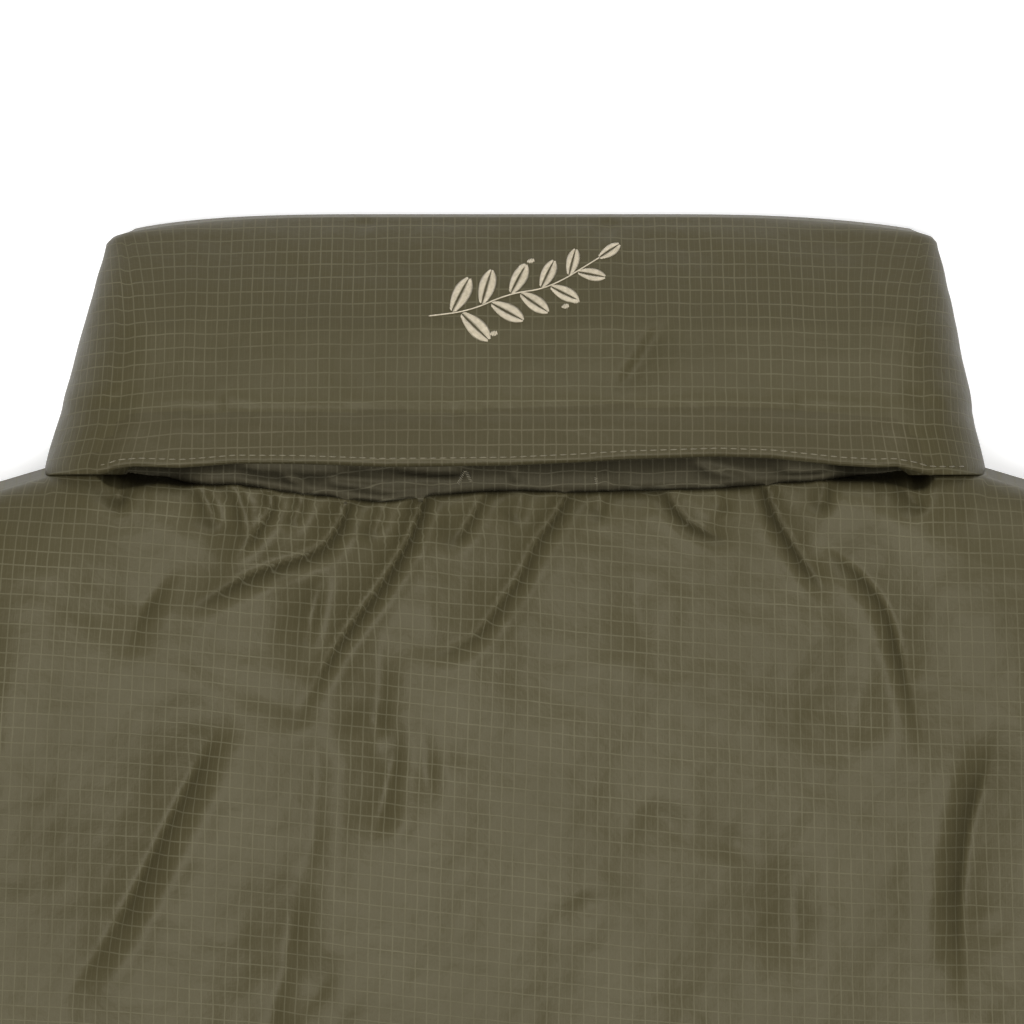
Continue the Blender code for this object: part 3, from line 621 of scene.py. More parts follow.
def srgb(red: float, green: float, blue: float, gain: float = 1.0) -> Colour:
    """A colour from its screen values of 0 to 255, as a shader takes it."""
    shares = [value / 255 for value in (red, green, blue)]
    linear = [s / 12.92 if s <= 0.04045 else ((s + 0.055) / 1.055) ** 2.4 for s in shares]
    return (*(gain * value for value in linear), 1.0)


@dataclass(frozen=True)
class Ripstop:
    """Thin nylon with a fine check of thicker threads, over down filling.

    Attributes:
        name: The material's name.
        cloth: The colour between the thick threads.
        thread: The colour of the thick threads.
        across: The spacing of the lengthwise threads.
        along: The spacing of the crosswise threads.
        line: The width of a thick thread.
        roughness: How matt the cloth is.
        gloss: How strongly it reflects.
        crinkle: How strongly its small crinkles show.
    """

    name: str
    cloth: Colour
    thread: Colour
    across: float = 3.4
    along: float = 4.45
    line: float = 0.33
    roughness: float = 0.47
    gloss: float = 0.17
    crinkle: float = 0.55

    def make(self) -> bpy.types.Material:
        """The finished material."""
        web = Web(self.name)
        cut = web.node("ShaderNodeUVMap", {"uv_map": CUT_MAP})
        u, v = web.axes(cut)
        wander = 1.3 * web.noise(cut, 0.035, 3.0) + 1.1 * web.noise(cut, 0.13, 2.0) - 1.2
        worn = web.noise(cut, 0.11, 3.0)
        drawn_u, drawn_v = u + 0.5 * wander, v + 0.5 * wander
        upright = drawn_u.wave(self.across).between(1 - 2.2 * self.line / self.across, 1.0)
        level = drawn_v.wave(self.along).between(1 - 2.0 * self.line / self.along, 1.0)
        fine = (drawn_u + self.across / 2).wave(self.across).between(1 - self.line / self.across, 1.0)
        lines = (upright * 0.85).larger(level).larger(fine * 0.25)
        slub = web.node("ShaderNodeMapping", Vector=cut, Scale=(0.5, 9.0, 1.0))
        streak = web.node("ShaderNodeMapping", Vector=cut, Scale=(9.0, 0.5, 1.0))
        weave = web.noise(slub, 0.6, 2.0) + web.noise(streak, 0.6, 2.0)
        mottle = web.noise(cut, 0.02, 4.0, 0.6)
        shade = lines * (0.4 + 0.7 * worn) + 0.22 * (weave - 1.0)
        colour = web.mix(shade, self.cloth, self.thread)
        deeper = (*(0.88 * channel for channel in self.cloth[:3]), 1.0)
        tint = web.mix(mottle.between(0.3, 0.7) * 0.35, colour, deeper)
        crinkles = web.noise(cut, 0.09, 4.0, 0.55) * (3.0 * self.crinkle)
        pillow = u.wave(self.across).larger(v.wave(self.along))
        relief = crinkles - 0.06 * pillow + 0.10 * lines + 0.05 * weave
        bump = web.node("ShaderNodeBump", Height=relief, Strength=0.55, Distance=0.0006)
        rough = self.roughness + 0.10 * lines + 0.08 * (mottle - 0.5)
        return web.finish(
            Base_Color=tint,
            Roughness=rough,
            Normal=bump,
            Specular_IOR_Level=self.gloss,
            Specular_Tint=(1.0, 0.95, 0.78, 1.0),
        )


@dataclass(frozen=True)
class Thread:
    """Twisted sewing thread.

    Attributes:
        name: The material's name.
        light: The colour of its upper strands, a painted highlight.
        dark: The colour between its strands, painted shade in the grooves.
        twist: The spacing of its strands.
        sheen: How much it shines at its edges.
    """

    name: str
    light: Colour
    dark: Colour
    twist: float = 0.45
    sheen: float = 0.25

    def make(self) -> bpy.types.Material:
        """The finished material."""
        web = Web(self.name)
        place = web.node("ShaderNodeTexCoord", out="Object")
        lean = {"0": place, "1": (1.0, 1.4, 0.6)}
        leaning = web.node("ShaderNodeVectorMath", {"operation": "DOT_PRODUCT"}, out="Value", **lean)
        strands = (leaning / MM).wave(self.twist)
        fuzz = web.noise(place, 900.0, 3.0)
        # The twist paints shade between the strands and highlight on them; the fuzz varies the tone at
        # random.
        colour = web.mix((0.55 * strands + 0.6 * fuzz).between(0.15, 0.95), self.dark, self.light)
        bump = web.node("ShaderNodeBump", Height=strands + fuzz, Strength=0.5, Distance=0.0001)
        return web.finish(Base_Color=colour, Roughness=0.5 + 0.2 * fuzz, Normal=bump, Sheen_Weight=self.sheen)


@dataclass(frozen=True)
class Woven:
    """Plain woven tape, as along a zip.

    Attributes:
        name: The material's name.
        light: The colour of the ribs, a painted highlight.
        dark: The colour between the ribs, painted shade.
        rib: The spacing of the ribs.
    """

    name: str
    light: Colour
    dark: Colour
    rib: float = 0.6

    def make(self) -> bpy.types.Material:
        """The finished material."""
        web = Web(self.name)
        place = web.node("ShaderNodeTexCoord", out="Object")
        across, along = web.axes(place)
        ribs = (across / MM).wave(self.rib) * (along / MM).wave(self.rib * 1.4).between(-0.4, 1.0)
        dust = web.noise(place, 120.0, 3.0)
        # The ribs paint shade between them; the dust varies their contrast at random.
        colour = web.mix(ribs * (0.6 + 0.5 * dust), self.dark, self.light)
        bump = web.node("ShaderNodeBump", Height=ribs, Strength=0.5, Distance=0.0002)
        return web.finish(Base_Color=colour, Roughness=0.75 + 0.15 * dust, Normal=bump, Sheen_Weight=0.1)


@dataclass(frozen=True)
class Metal:
    """Dark plated zinc with slightly worn patches and fine rub marks.

    Attributes:
        name: The material's name.
        plate: The colour of the plating.
        worn: The colour where it is rubbed.
    """

    name: str
    plate: Colour
    worn: Colour

    def make(self) -> bpy.types.Material:
        """The finished material."""
        web = Web(self.name)
        place = web.node("ShaderNodeTexCoord", out="Object")
        rubbed = web.node("ShaderNodeMapping", Vector=place, Scale=(1.0, 0.2, 1.0))
        marks = web.noise(rubbed, 900.0, 4.0, 0.65)
        patch = web.noise(place, 160.0, 3.0)
        colour = web.mix((0.6 * marks + 0.5 * patch).between(0.45, 0.8), self.plate, self.worn)
        bump = web.node("ShaderNodeBump", Height=marks, Strength=0.15, Distance=0.00005)
        return web.finish(Base_Color=colour, Metallic=0.9, Roughness=0.28 + 0.25 * marks, Normal=bump)


# --------------------------------------------------------------------------------------------------
# Thread, stitches and teeth: small pieces repeated by Geometry Nodes
# --------------------------------------------------------------------------------------------------


class Bead(Enum):
    """The small shape that a row repeats."""

    STITCH = "GeometryNodeMeshUVSphere"
    TOOTH = "GeometryNodeMeshCylinder"


@dataclass(frozen=True)
class Repeat:
    """Geometry Nodes that put one small shape on every point of a mesh.

    Each point's "turn" attribute gives the shape's rotation and "span" its length in metres.

    Attributes:
        bead: The small shape.
        facets: How many sides it has.
    """

    bead: Bead
    facets: int = 6

    def tree(self) -> bpy.types.NodeTree:
        """The node tree, with named inputs for the shape's width, height and finish."""
        name = f"repeat_{self.bead.name.lower()}_{self.facets}"
        if name in bpy.data.node_groups:
            return bpy.data.node_groups[name]
        tree = bpy.data.node_groups.new(name, "GeometryNodeTree")
        sockets = (("Points", "Geometry"), ("Width", "Float"), ("Height", "Float"), ("Finish", "Material"))
        for socket, kind in sockets:
            tree.interface.new_socket(socket, in_out="INPUT", socket_type=f"NodeSocket{kind}")
        tree.interface.new_socket("Rows", in_out="OUTPUT", socket_type="NodeSocketGeometry")
        given, result = tree.nodes.new("NodeGroupInput"), tree.nodes.new("NodeGroupOutput")
        shape = tree.nodes.new(self.bead.value)
        if self.bead is Bead.STITCH:
            sizes = {"Segments": self.facets, "Rings": self.facets - 1, "Radius": 0.5}
        else:
            sizes = {"Vertices": self.facets, "Radius": 0.5, "Depth": 1.0}
        for socket, value in sizes.items():
            shape.inputs[socket].default_value = value
        size = tree.nodes.new("ShaderNodeCombineXYZ")
        span, turn = (tree.nodes.new("GeometryNodeInputNamedAttribute") for _ in range(2))
        span.data_type, turn.data_type = "FLOAT", "FLOAT_VECTOR"
        span.inputs["Name"].default_value, turn.inputs["Name"].default_value = "span", "turn"
        kinds = ("InstanceOnPoints", "RealizeInstances", "SetMaterial")
        scatter, real, dress = (tree.nodes.new(f"GeometryNode{kind}") for kind in kinds)
        links = (
            (span.outputs["Attribute"], size.inputs["X"]),
            (given.outputs["Width"], size.inputs["Y"]),
            (given.outputs["Height"], size.inputs["Z"]),
            (given.outputs["Points"], scatter.inputs["Points"]),
            (shape.outputs["Mesh"], scatter.inputs["Instance"]),
            (turn.outputs["Attribute"], scatter.inputs["Rotation"]),
            (size.outputs["Vector"], scatter.inputs["Scale"]),
            (scatter.outputs["Instances"], real.inputs["Geometry"]),
            (real.outputs["Geometry"], dress.inputs["Geometry"]),
            (given.outputs["Finish"], dress.inputs["Material"]),
            (dress.outputs["Geometry"], result.inputs["Rows"]),
        )
        for output, socket in links:
            tree.links.new(output, socket)
        return tree

    def lay(
        self,
        name: str,
        places: Array,
        ahead: Array,
        up: Array,
        span: Array | float,
        width: float,
        height: float,
        finish: bpy.types.Material,
    ) -> bpy.types.Object:
        """Lays the shape at every place, as one plain mesh.

        Args:
            name: The object's name.
            places: Where each shape goes, in millimetres, one a row.
            ahead: The direction that each is long in.
            up: The direction that each stands up in.
            span: How long each is.
            width: How wide they are.
            height: How high they are.
            finish: Their material.

        Returns:
            The object.
        """
        ahead = unit(ahead)
        beside = unit(np.cross(up, ahead))
        above = np.cross(ahead, beside)
        roll, heading = np.arctan2(beside[:, 2], above[:, 2]), np.arctan2(ahead[:, 1], ahead[:, 0])
        turn = np.column_stack((roll, np.arcsin(np.clip(-ahead[:, 2], -1, 1)), heading))
        mesh = bpy.data.meshes.new(f"{name}_points")
        mesh.from_pydata(PATTERN.metres(places), [], [])
        mesh.attributes.new("turn", "FLOAT_VECTOR", "POINT").data.foreach_set("vector", turn.ravel())
        spans = np.broadcast_to(np.asarray(span, float) * MM, len(places)).copy()
        mesh.attributes.new("span", "FLOAT", "POINT").data.foreach_set("value", spans)
        points = put(f"{name}_points", mesh)
        rows = points.modifiers.new("rows", "NODES")
        rows.node_group = self.tree()
        sizes = {"Width": width * MM, "Height": height * MM, "Finish": finish}
        for socket in rows.node_group.interface.items_tree:
            if socket.in_out == "INPUT" and socket.name in sizes:
                rows[socket.identifier] = sizes[socket.name]
        bpy.context.view_layer.update()
        made = bpy.data.meshes.new_from_object(points.evaluated_get(bpy.context.evaluated_depsgraph_get()))
        made.name = name
        made.shade_smooth()
        bpy.data.objects.remove(points)
        bpy.data.meshes.remove(mesh)
        return put(name, made)


STITCH = Repeat(Bead.STITCH)
TOOTH = Repeat(Bead.TOOTH, 8)

Surface = Callable[[Array, Array], Array]


def on_run(run: Array, stops: Array) -> Array:
    """The places this far along a run."""
    return np.stack([np.interp(stops, ways_along(run), line) for line in run.T], axis=-1)


def even_run(run: Array, pitch: float) -> tuple[Array, Array]:
    """Places along a run at an even pitch, with the direction at each."""
    stops = np.arange(pitch / 2, ways_along(run)[-1], pitch)
    return on_run(run, stops), unit(on_run(run, stops + pitch / 4) - on_run(run, stops - pitch / 4))


def normals(surface: Surface, x: Array, y: Array, side: float = 1.0) -> Array:
    """The directions that a height field faces at some places, up (1) or down (-1)."""
    reach = 0.5
    slope_x = (surface(x + reach, y) - surface(x - reach, y)) / (2 * reach)
    slope_y = (surface(x, y + reach) - surface(x, y - reach)) / (2 * reach)
    return unit(np.column_stack((-slope_x, -slope_y, np.ones_like(slope_x))) * side)


def on_slope(ahead: Array, up: Array) -> Array:
    """Directions in plan, tilted to lie on a surface that faces this way."""
    return np.column_stack((ahead, -(up[:, 0] * ahead[:, 0] + up[:, 1] * ahead[:, 1]) / up[:, 2]))


@dataclass(frozen=True)
class Seam:
    """A row of stitches on a panel.

    Attributes:
        pitch: The distance from one stitch to the next.
        length: How long a stitch is.
        width: How thick its thread lies.
        sink: How far its middle lies under the cloth's surface.
        flatness: Its height as a share of its width.
    """

    pitch: float = 3.0
    length: float = 2.2
    width: float = 0.45
    sink: float = 0.02
    flatness: float = 0.7

    def sew(
        self, name: str, run: Array, surface: Surface, finish: bpy.types.Material, side: float = 1.0
    ) -> bpy.types.Object:
        """Sews along a run that lies on a surface.

        Args:
            name: The row's name.
            run: The run's points in plan.
            surface: The height of the cloth at a place.
            finish: The thread's material.
            side: 1 for a surface that faces up, -1 for one that faces down.

        Returns:
            The row of stitches.
        """
        places, ahead = even_run(run, self.pitch)
        up = normals(surface, *places.T, side)
        lying = np.column_stack((places, surface(*places.T))) - up * self.sink
        height = self.width * self.flatness
        return STITCH.lay(name, lying, on_slope(ahead, up), up, self.length, self.width, height, finish)


# --------------------------------------------------------------------------------------------------
# The padded cloth
# --------------------------------------------------------------------------------------------------


PATTERN = Pattern()


def graded(stops: Sequence[tuple[float, float]]) -> Array:
    """Places from the first stop to the last, each stop a place and the spacing there."""
    places = [stops[0][0]]
    for (start, near), (end, far) in zip(stops[:-1], stops[1:], strict=True):
        count = max(1, round(abs(end - start) / ((near + far) / 2)))
        share = np.arange(1, count + 1) / count
        bias = (near * share + (far - near) * share**2 / 2) / ((near + far) / 2)
        places.extend(start + (end - start) * bias)
    return np.array(places)


@dataclass
class Cloth:
    """What the jacket's padded pieces are finished with."""

    shell: bpy.types.Material
    thread: bpy.types.Material
    seam: Seam = field(default_factory=Seam)

    def dress(self, piece: bpy.types.Object, *nodes: str, fill: float = 0.35) -> bpy.types.Object:
        """Gives a padded piece the shell cloth and puts it in the place of its solids."""
        piece.data.materials.append(self.shell)
        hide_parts(*nodes)
        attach(piece, ROOT)
        log.info("%s: %d faces", piece.name, len(piece.data.polygons))
        return piece

    def sew(
        self, name: str, run: Array, surface: Surface, side: float = 1.0, seam: Seam | None = None
    ) -> bpy.types.Object:
        """Sews a row of stitches on the cloth."""
        row = (seam or self.seam).sew(name, run, surface, self.thread, side)
        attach(row, ROOT)
        log.info("%s: %d faces", row.name, len(row.data.polygons))
        return row


# Folds that the gathered edge under the collar sends down the back.
GATHERS = (
    Fold(((-95, -26), (-112, -41), (-118, -60)), 9.4, 3, 0.2, 0.2),
    Fold(((-94, -8), (-91, -15), (-90, -21)), 5.2, 3.2, 0.2, 0.0, True),
    Fold(((-84, -7), (-81, -16), (-82, -24)), 4.6, 2.9, 0.2, 0.0, True),
    Fold(((-74, -9), (-73, -12), (-80, -22), (-87, -31)), 6.4, 3.6, 0.3, 0.2, True),
    Fold(
        ((-51, -12), (-54, -19), (-60, -26), (-78, -31), (-92, -39), (-104, -48)),
        *(8.6, 5.1, 0.35, 0.3, True),
    ),
    Fold(
        ((-28, -10), (-31, -19), (-36, -28), (-44, -40), (-52, -50), (-61, -66), (-66, -80)),
        *(7.4, 5.1, 0.45, 0.3, True),
    ),
    Fold(((-10, -9), (-14, -16), (-21, -27)), 6, 3, 0.3, 0.2, True),
    Fold(((-61, -33), (-62, -49), (-67, -66)), 8.6, 3.1),
    Fold(((-41, -44), (-41, -67), (-42, -99)), 8.6, 2.9, 0.1),
    Fold(
        ((15, -9), (11, -16), (5, -23), (2, -31), (-5, -41), (-12, -51), (-24, -57), (-35, -53)),
        *(8, 4.3, 0.3, 0.3, True),
    ),
    Fold(((46, -8), (48, -13), (53, -18), (67, -24)), 5.8, 3.4, 0.35, -0.2, True),
    Fold(((75, -6), (77, -13), (86, -28), (96, -42)), 7, 4.2, 0.35, -0.3, True),
    Fold(((88, -20), (110, -37), (116, -55), (123, -89)), 8.6, 4.4, 0.2, -0.3),
    Fold(((-57, -30), (-61, -44), (-63, -56)), 4.4, 2.2, 0.4),
    Fold(((-63, -62), (-66, -72), (-70, -84)), 11.0, 2.6),
    Fold(((34, -22), (36, -40), (39, -62)), 9.0, 1.9),
    Fold(((106, -46), (104, -66), (98, -96)), 14.0, 3.0),
    Fold(((116, -4), (119, -9), (123, -15)), 4.3, 2.9, 0.3, 0.0, True),
    Fold(((93, -5), (92, -11), (92, -16)), 4.6, 2.9, 0.3, 0.0, True),
    Fold(((-118, -5), (-119, -10), (-122, -15)), 4.6, 3.2, 0.2, 0.0, True),
    Fold(((26, -8), (25, -13), (26, -18)), 4.6, 2.2, 0.2, 0.0, True),
    Fold(((-64, -9), (-65, -14), (-69, -20)), 4.6, 2.7, 0.2, 0.0, True),
    Fold(((60, -7), (61, -11), (64, -15)), 4.3, 2.2, 0.2, 0.0, True),
    Fold(((2, -9), (1, -13), (-1, -19)), 4.3, 2.2, 0.2, 0.0, True),
    Fold(((-40, -12), (-41, -17), (-45, -24)), 4.9, 2.6, 0.2, 0.0, True),
)

# Broader folds further down, as the photograph shows them.
DRAPE = (
    Fold(((-84, -70), (-92, -82), (-104, -104), (-121, -139), (-144, -172)), 12.9, 6.8, 0.1, 0.3),
    Fold(((-59, -74), (-60, -92), (-61, -112), (-66, -138)), 7.6, 2.0),
    Fold(((-34, -73), (-37, -90), (-41, -106), (-47, -120)), 7.2, 3.5, 0.1),
    Fold(((-44, -69), (-43, -76), (-43, -84)), 5.7, 2.2),
    Fold(((-64, -114), (-67, -130), (-70, -149), (-76, -175), (-80, -200)), 11.4, 4),
    Fold(((-28, -74), (-27, -90), (-26, -107)), 6.3, 2.5),
    Fold(((-52, -145), (-58, -156), (-66, -168)), 8.6, 3),
    Fold(((147, -76), (141, -95), (136, -115), (135, -138), (136, -168)), 11.4, 6.8, 0.1, -0.2),
    Fold(((67, -106), (66, -114), (66, -122)), 7.2, 1.8),
    Fold(((82, -107), (83, -120), (84, -134), (84, -168)), 10, 2.9),
    Fold(((38, -99), (45, -107), (53, -116)), 8.6, 2),
    Fold(((18, -127), (21, -131), (26, -137)), 7.2, 1.5),
    Fold(((-150, -30), (-168, -62), (-174, -110)), 15.7, 3.8),
    Fold(((158, -28), (172, -58), (180, -104)), 15.7, 3.8),
)

# Small creases in the facing, where its tacks and the gathers pull it.
FACING_CREASES = (
    Fold(((-86, -0.5), (-70, -1), (-54, -1.6), (-46, -4)), 2.6, 3.0, 0.3),
    Fold(((-58, -4.6), (-48, -6), (-37, -6.4)), 1.7, 2.0, 0.5),
    Fold(((-14, -2), (-22, -2.6), (-32, -1.6), (-40, -0.4)), 2.2, 2.6, 0.4),
    Fold(((-15, -5.4), (-26, -7.6), (-40, -8.6), (-54, -7.4)), 1.9, 2.2, 0.4),
    Fold(((-0.6, 0), (0.2, -3), (0.4, -7)), 1.4, 1.7, 0.5),
    Fold(((24.2, -5.4), (25.6, -7.2), (29, -9)), 1.5, 1.8, 0.4),
    Fold(((-72, -2), (-66, -5), (-62, -9)), 1.8, 1.6, 0.3),
    Fold(((52, 1), (62, -2.4), (74, -5)), 2.4, 2.2, 0.3),
    Fold(((96, -1), (86, -2.6), (76, -1)), 2.2, 2.0, 0.3),
)

# Folds on the part of the back that the photograph doesn't show.
LOWER_BACK = (
    Fold(((232, -130), (206, -158), (180, -182), (150, -260)), 14.9, 6.8, 0.1, -0.2),
    Fold(((-238, -150), (-212, -186), (-190, -215), (-172, -300)), 14.9, 6.8, 0.1, 0.2),
    Fold(((236, -210), (214, -236), (200, -268)), 10.3, 4.8),
    Fold(((-240, -226), (-222, -250), (-212, -276)), 9.2, 4.4),
    Fold(((288, -300), (250, -326), (210, -345), (120, -370)), 16.1, 6.4, 0.1, 0.2),
    Fold(((-288, -305), (-250, -326), (-215, -340), (-130, -385)), 16.1, 6.4, 0.1, -0.2),
    Fold(((292, -360), (262, -378), (226, -386)), 10.3, 4.4),
    Fold(((-290, -372), (-256, -396), (-226, -402)), 10.3, 4.8),
    Fold(((40, -230), (32, -270), (30, -300), (48, -375)), 14.9, 4),
    Fold(((-60, -290), (-74, -330), (-75, -360), (-66, -430)), 14.9, 4.4),
    Fold(((110, -250), (96, -300), (104, -352)), 13.8, 4),
    Fold(((-150, -330), (-128, -392), (-134, -452)), 14.9, 4.6),
    Fold(((215, -430), (196, -468), (180, -500), (190, -590)), 17.2, 5.2),
    Fold(((-225, -450), (-204, -490), (-190, -520), (-205, -610)), 17.2, 5.2),
    Fold(((100, -480), (90, -520), (86, -560), (96, -650)), 16.1, 4.2),
    Fold(((-95, -520), (-86, -556), (-84, -590), (-100, -668)), 16.1, 4.2),
    Fold(((10, -430), (24, -480), (16, -540)), 16.1, 3.6),
    Fold(((250, -560), (240, -610), (246, -660)), 11.5, 3.6),
    Fold(((-262, -540), (-250, -600), (-256, -655)), 11.5, 3.6),
    Fold(((-20, -590), (-12, -630), (-22, -670)), 12.6, 3.4),
    Fold(((150, -610), (158, -640), (152, -672)), 10.3, 2.8),
)


@dataclass
class Back:
    """The padded back: one piece from shoulder to shoulder, gathered along the hood pocket."""

    cloth: Cloth
    loft: float = 17.0
    neck_loft: float = 25.0
    roll: float = 9.0
    lip_height: float = 4.9
    under_collar: float = 2.5
    under_sleeve: float = 2.0
    swell: float = 1.6
    dip: float = 3.0
    pucker: float = 0.55
    hem_row: float = 22.0
    hem_dent: float = 2.2
    waves: float = 0.6
    crumple: float = 0.18
    lean: tuple[float, float] = (0.06, 3.6)
    fan: tuple[tuple[float, ...], tuple[float, ...]] = (
        (-160, -90, 0, 100, 160),
        (-0.10, -0.075, -0.03, 0.045, 0.06),
    )
    folds: tuple[Fold, ...] = GATHERS + DRAPE + LOWER_BACK

    def thickness(self, x: Array, y: Array) -> Array:
        """The padding's thickness away from its seams."""
        base = blend(self.loft, self.neck_loft, wave_down(y, *PATTERN.shared_y))
        swell = np.sin(x / 47 + y / 83 + 0.6) * np.sin(y / 61 - x / 140 + 0.4)
        fine = self.waves * ripples(x, y, 34.0, 3) + self.crumple * ripples(x, y, 11.0, 5)
        fine += self.pucker * ripples(x, y / 5.0, 5.5, 31) * np.exp(np.minimum(y + 5.0, 0.0) / 7.0)
        fine -= self.hem_dent * bell((y - PATTERN.hem_y(x) - self.hem_row) / 3.0)
        dip = self.dip * np.exp(np.minimum(y, 0.0) / 22.0) * (1 - ease((np.abs(x) - 100) / 60))
        return base + self.swell * swell + fine - dip - hollows(self.folds, x, y)

    def height(self, x: Array, y: Array) -> Array:
        """The outer surface."""
        wall, gap = PATTERN.seam_wall, PATTERN.seam_gap
        base = PATTERN.middle(x, y) + gap
        swell = round_off(PATTERN.to_seams(x, y, (-1, 1)), PATTERN.edge_round)
        full = blend(wall, self.thickness(x, y), swell)
        edge = blend(full * 0.9, PATTERN.pocket_floor + self.lip_height - base, PATTERN.mouth_open(x))
        below = np.maximum(0.0, PATTERN.back_top(x) - y)
        rolled = blend(np.minimum(edge, full), full, round_off(below, self.roll))
        return base + np.where(np.abs(x) >= PATTERN.neck_side[0], full, rolled)

    def place(self, x: Array, down: Array) -> tuple[Array, Array]:
        """A place inside the back's four curved sides, from its column and its share down."""
        widen = PATTERN.hem_side[0] / PATTERN.shoulder_end[0]
        right = PATTERN.side(down)
        across = (x / PATTERN.shoulder_end[0] + 1) / 2
        corner, foot = PATTERN.side(0.0), PATTERN.side(1.0)
        plan_x = (1 - down) * x + down * x * widen + (2 * across - 1) * right[..., 0]
        plan_x -= (2 * across - 1) * ((1 - down) * corner[0] + down * foot[0])
        plan_y = (1 - down) * PATTERN.back_top(x) + down * PATTERN.hem_y(x * widen) + right[..., 1]
        plan_y -= (1 - down) * corner[1] + down * foot[1]
        return plan_x, plan_y

    def threads(self, outer: Array) -> Array:
        """Where each place lies in the flat cloth: turned a little and fanned out below the gathers."""
        x, y = outer[..., 0], outer[..., 1]
        shear = np.interp(x, *self.fan)
        reach = 190.0 * (1 - np.exp(np.minimum(y, 0.0) / 190.0))
        turn, rise = self.lean
        u = x - shear * reach + arc_drift(outer, 1, 30.0)
        v = y + turn * x + rise * np.sin(x / 70.0 + 0.4) + arc_drift(outer, 0, 30.0)
        return np.stack((u, v), axis=-1)

    def build(self) -> bpy.types.Object:
        """Builds the back."""
        half = graded(((0, 1.35), (160, 1.35), (250, 4.5)))
        columns = np.concatenate((-half[:0:-1], half))
        length = PATTERN.body_length - 8.0
        hem = ((length - 36, 5.0), (length - 20, 1.6), (length, 1.6))
        rows = graded(((0, 0.5), (10, 1.2), (178, 1.5), (300, 4.0), *hem)) / length
        x, y = self.place(*np.meshgrid(columns, rows))
        outer = np.stack((x, y, self.height(x, y)), axis=-1)
        inner = np.stack((x, y, PATTERN.middle(x, y) + PATTERN.seam_gap), axis=-1)
        under = self.under_collar * (1 + 2.2 * bell((np.abs(x[0]) - 120.0) / 9.0))
        side = np.where(y[:, 0] > PATTERN.underarm[1], -self.under_sleeve, 1.4)
        reaches = {"top": -under, "first": side, "last": side}
        piece = panel("back", outer, inner, self.threads(outer), (14, 14), reaches=reaches)
        self.cloth.dress(piece, "back_panel")
        across = np.linspace(-0.96, 0.96, 120) * PATTERN.hem_side[0]
        run = np.column_stack((across, PATTERN.hem_y(across) + self.hem_row))
        self.cloth.sew("back_hem_stitch", run, self.height)
        return piece


# Creases on the collar: two at its sides, a long one up to its right, and a dip in its top edge.
COLLAR_CREASES = (
    Fold(((-124, 16), (-120, 20), (-116, 24)), 2.6, 1.1, 0.4),
    Fold(((28, 20), (32, 25), (36, 30), (41, 38), (47, 47)), 4.2, 1.6, 0.2, 0.3),
    Fold(((118, 25), (121, 20), (125, 15)), 2.8, 1.1, 0.4),
    Fold(((27, 77), (29, 73), (31, 69)), 4, 1.3),
    Fold(((-46, 77), (-45, 74), (-44, 71)), 3.4, 1),
    Fold(((-86, 12), (-87, 17), (-84, 24)), 3.5, 0.8),
    Fold(((84, 11), (86, 17), (84, 25)), 3.5, 0.8),
    Fold(((-20, 10), (-19, 14), (-21, 19)), 3, 0.6),
)


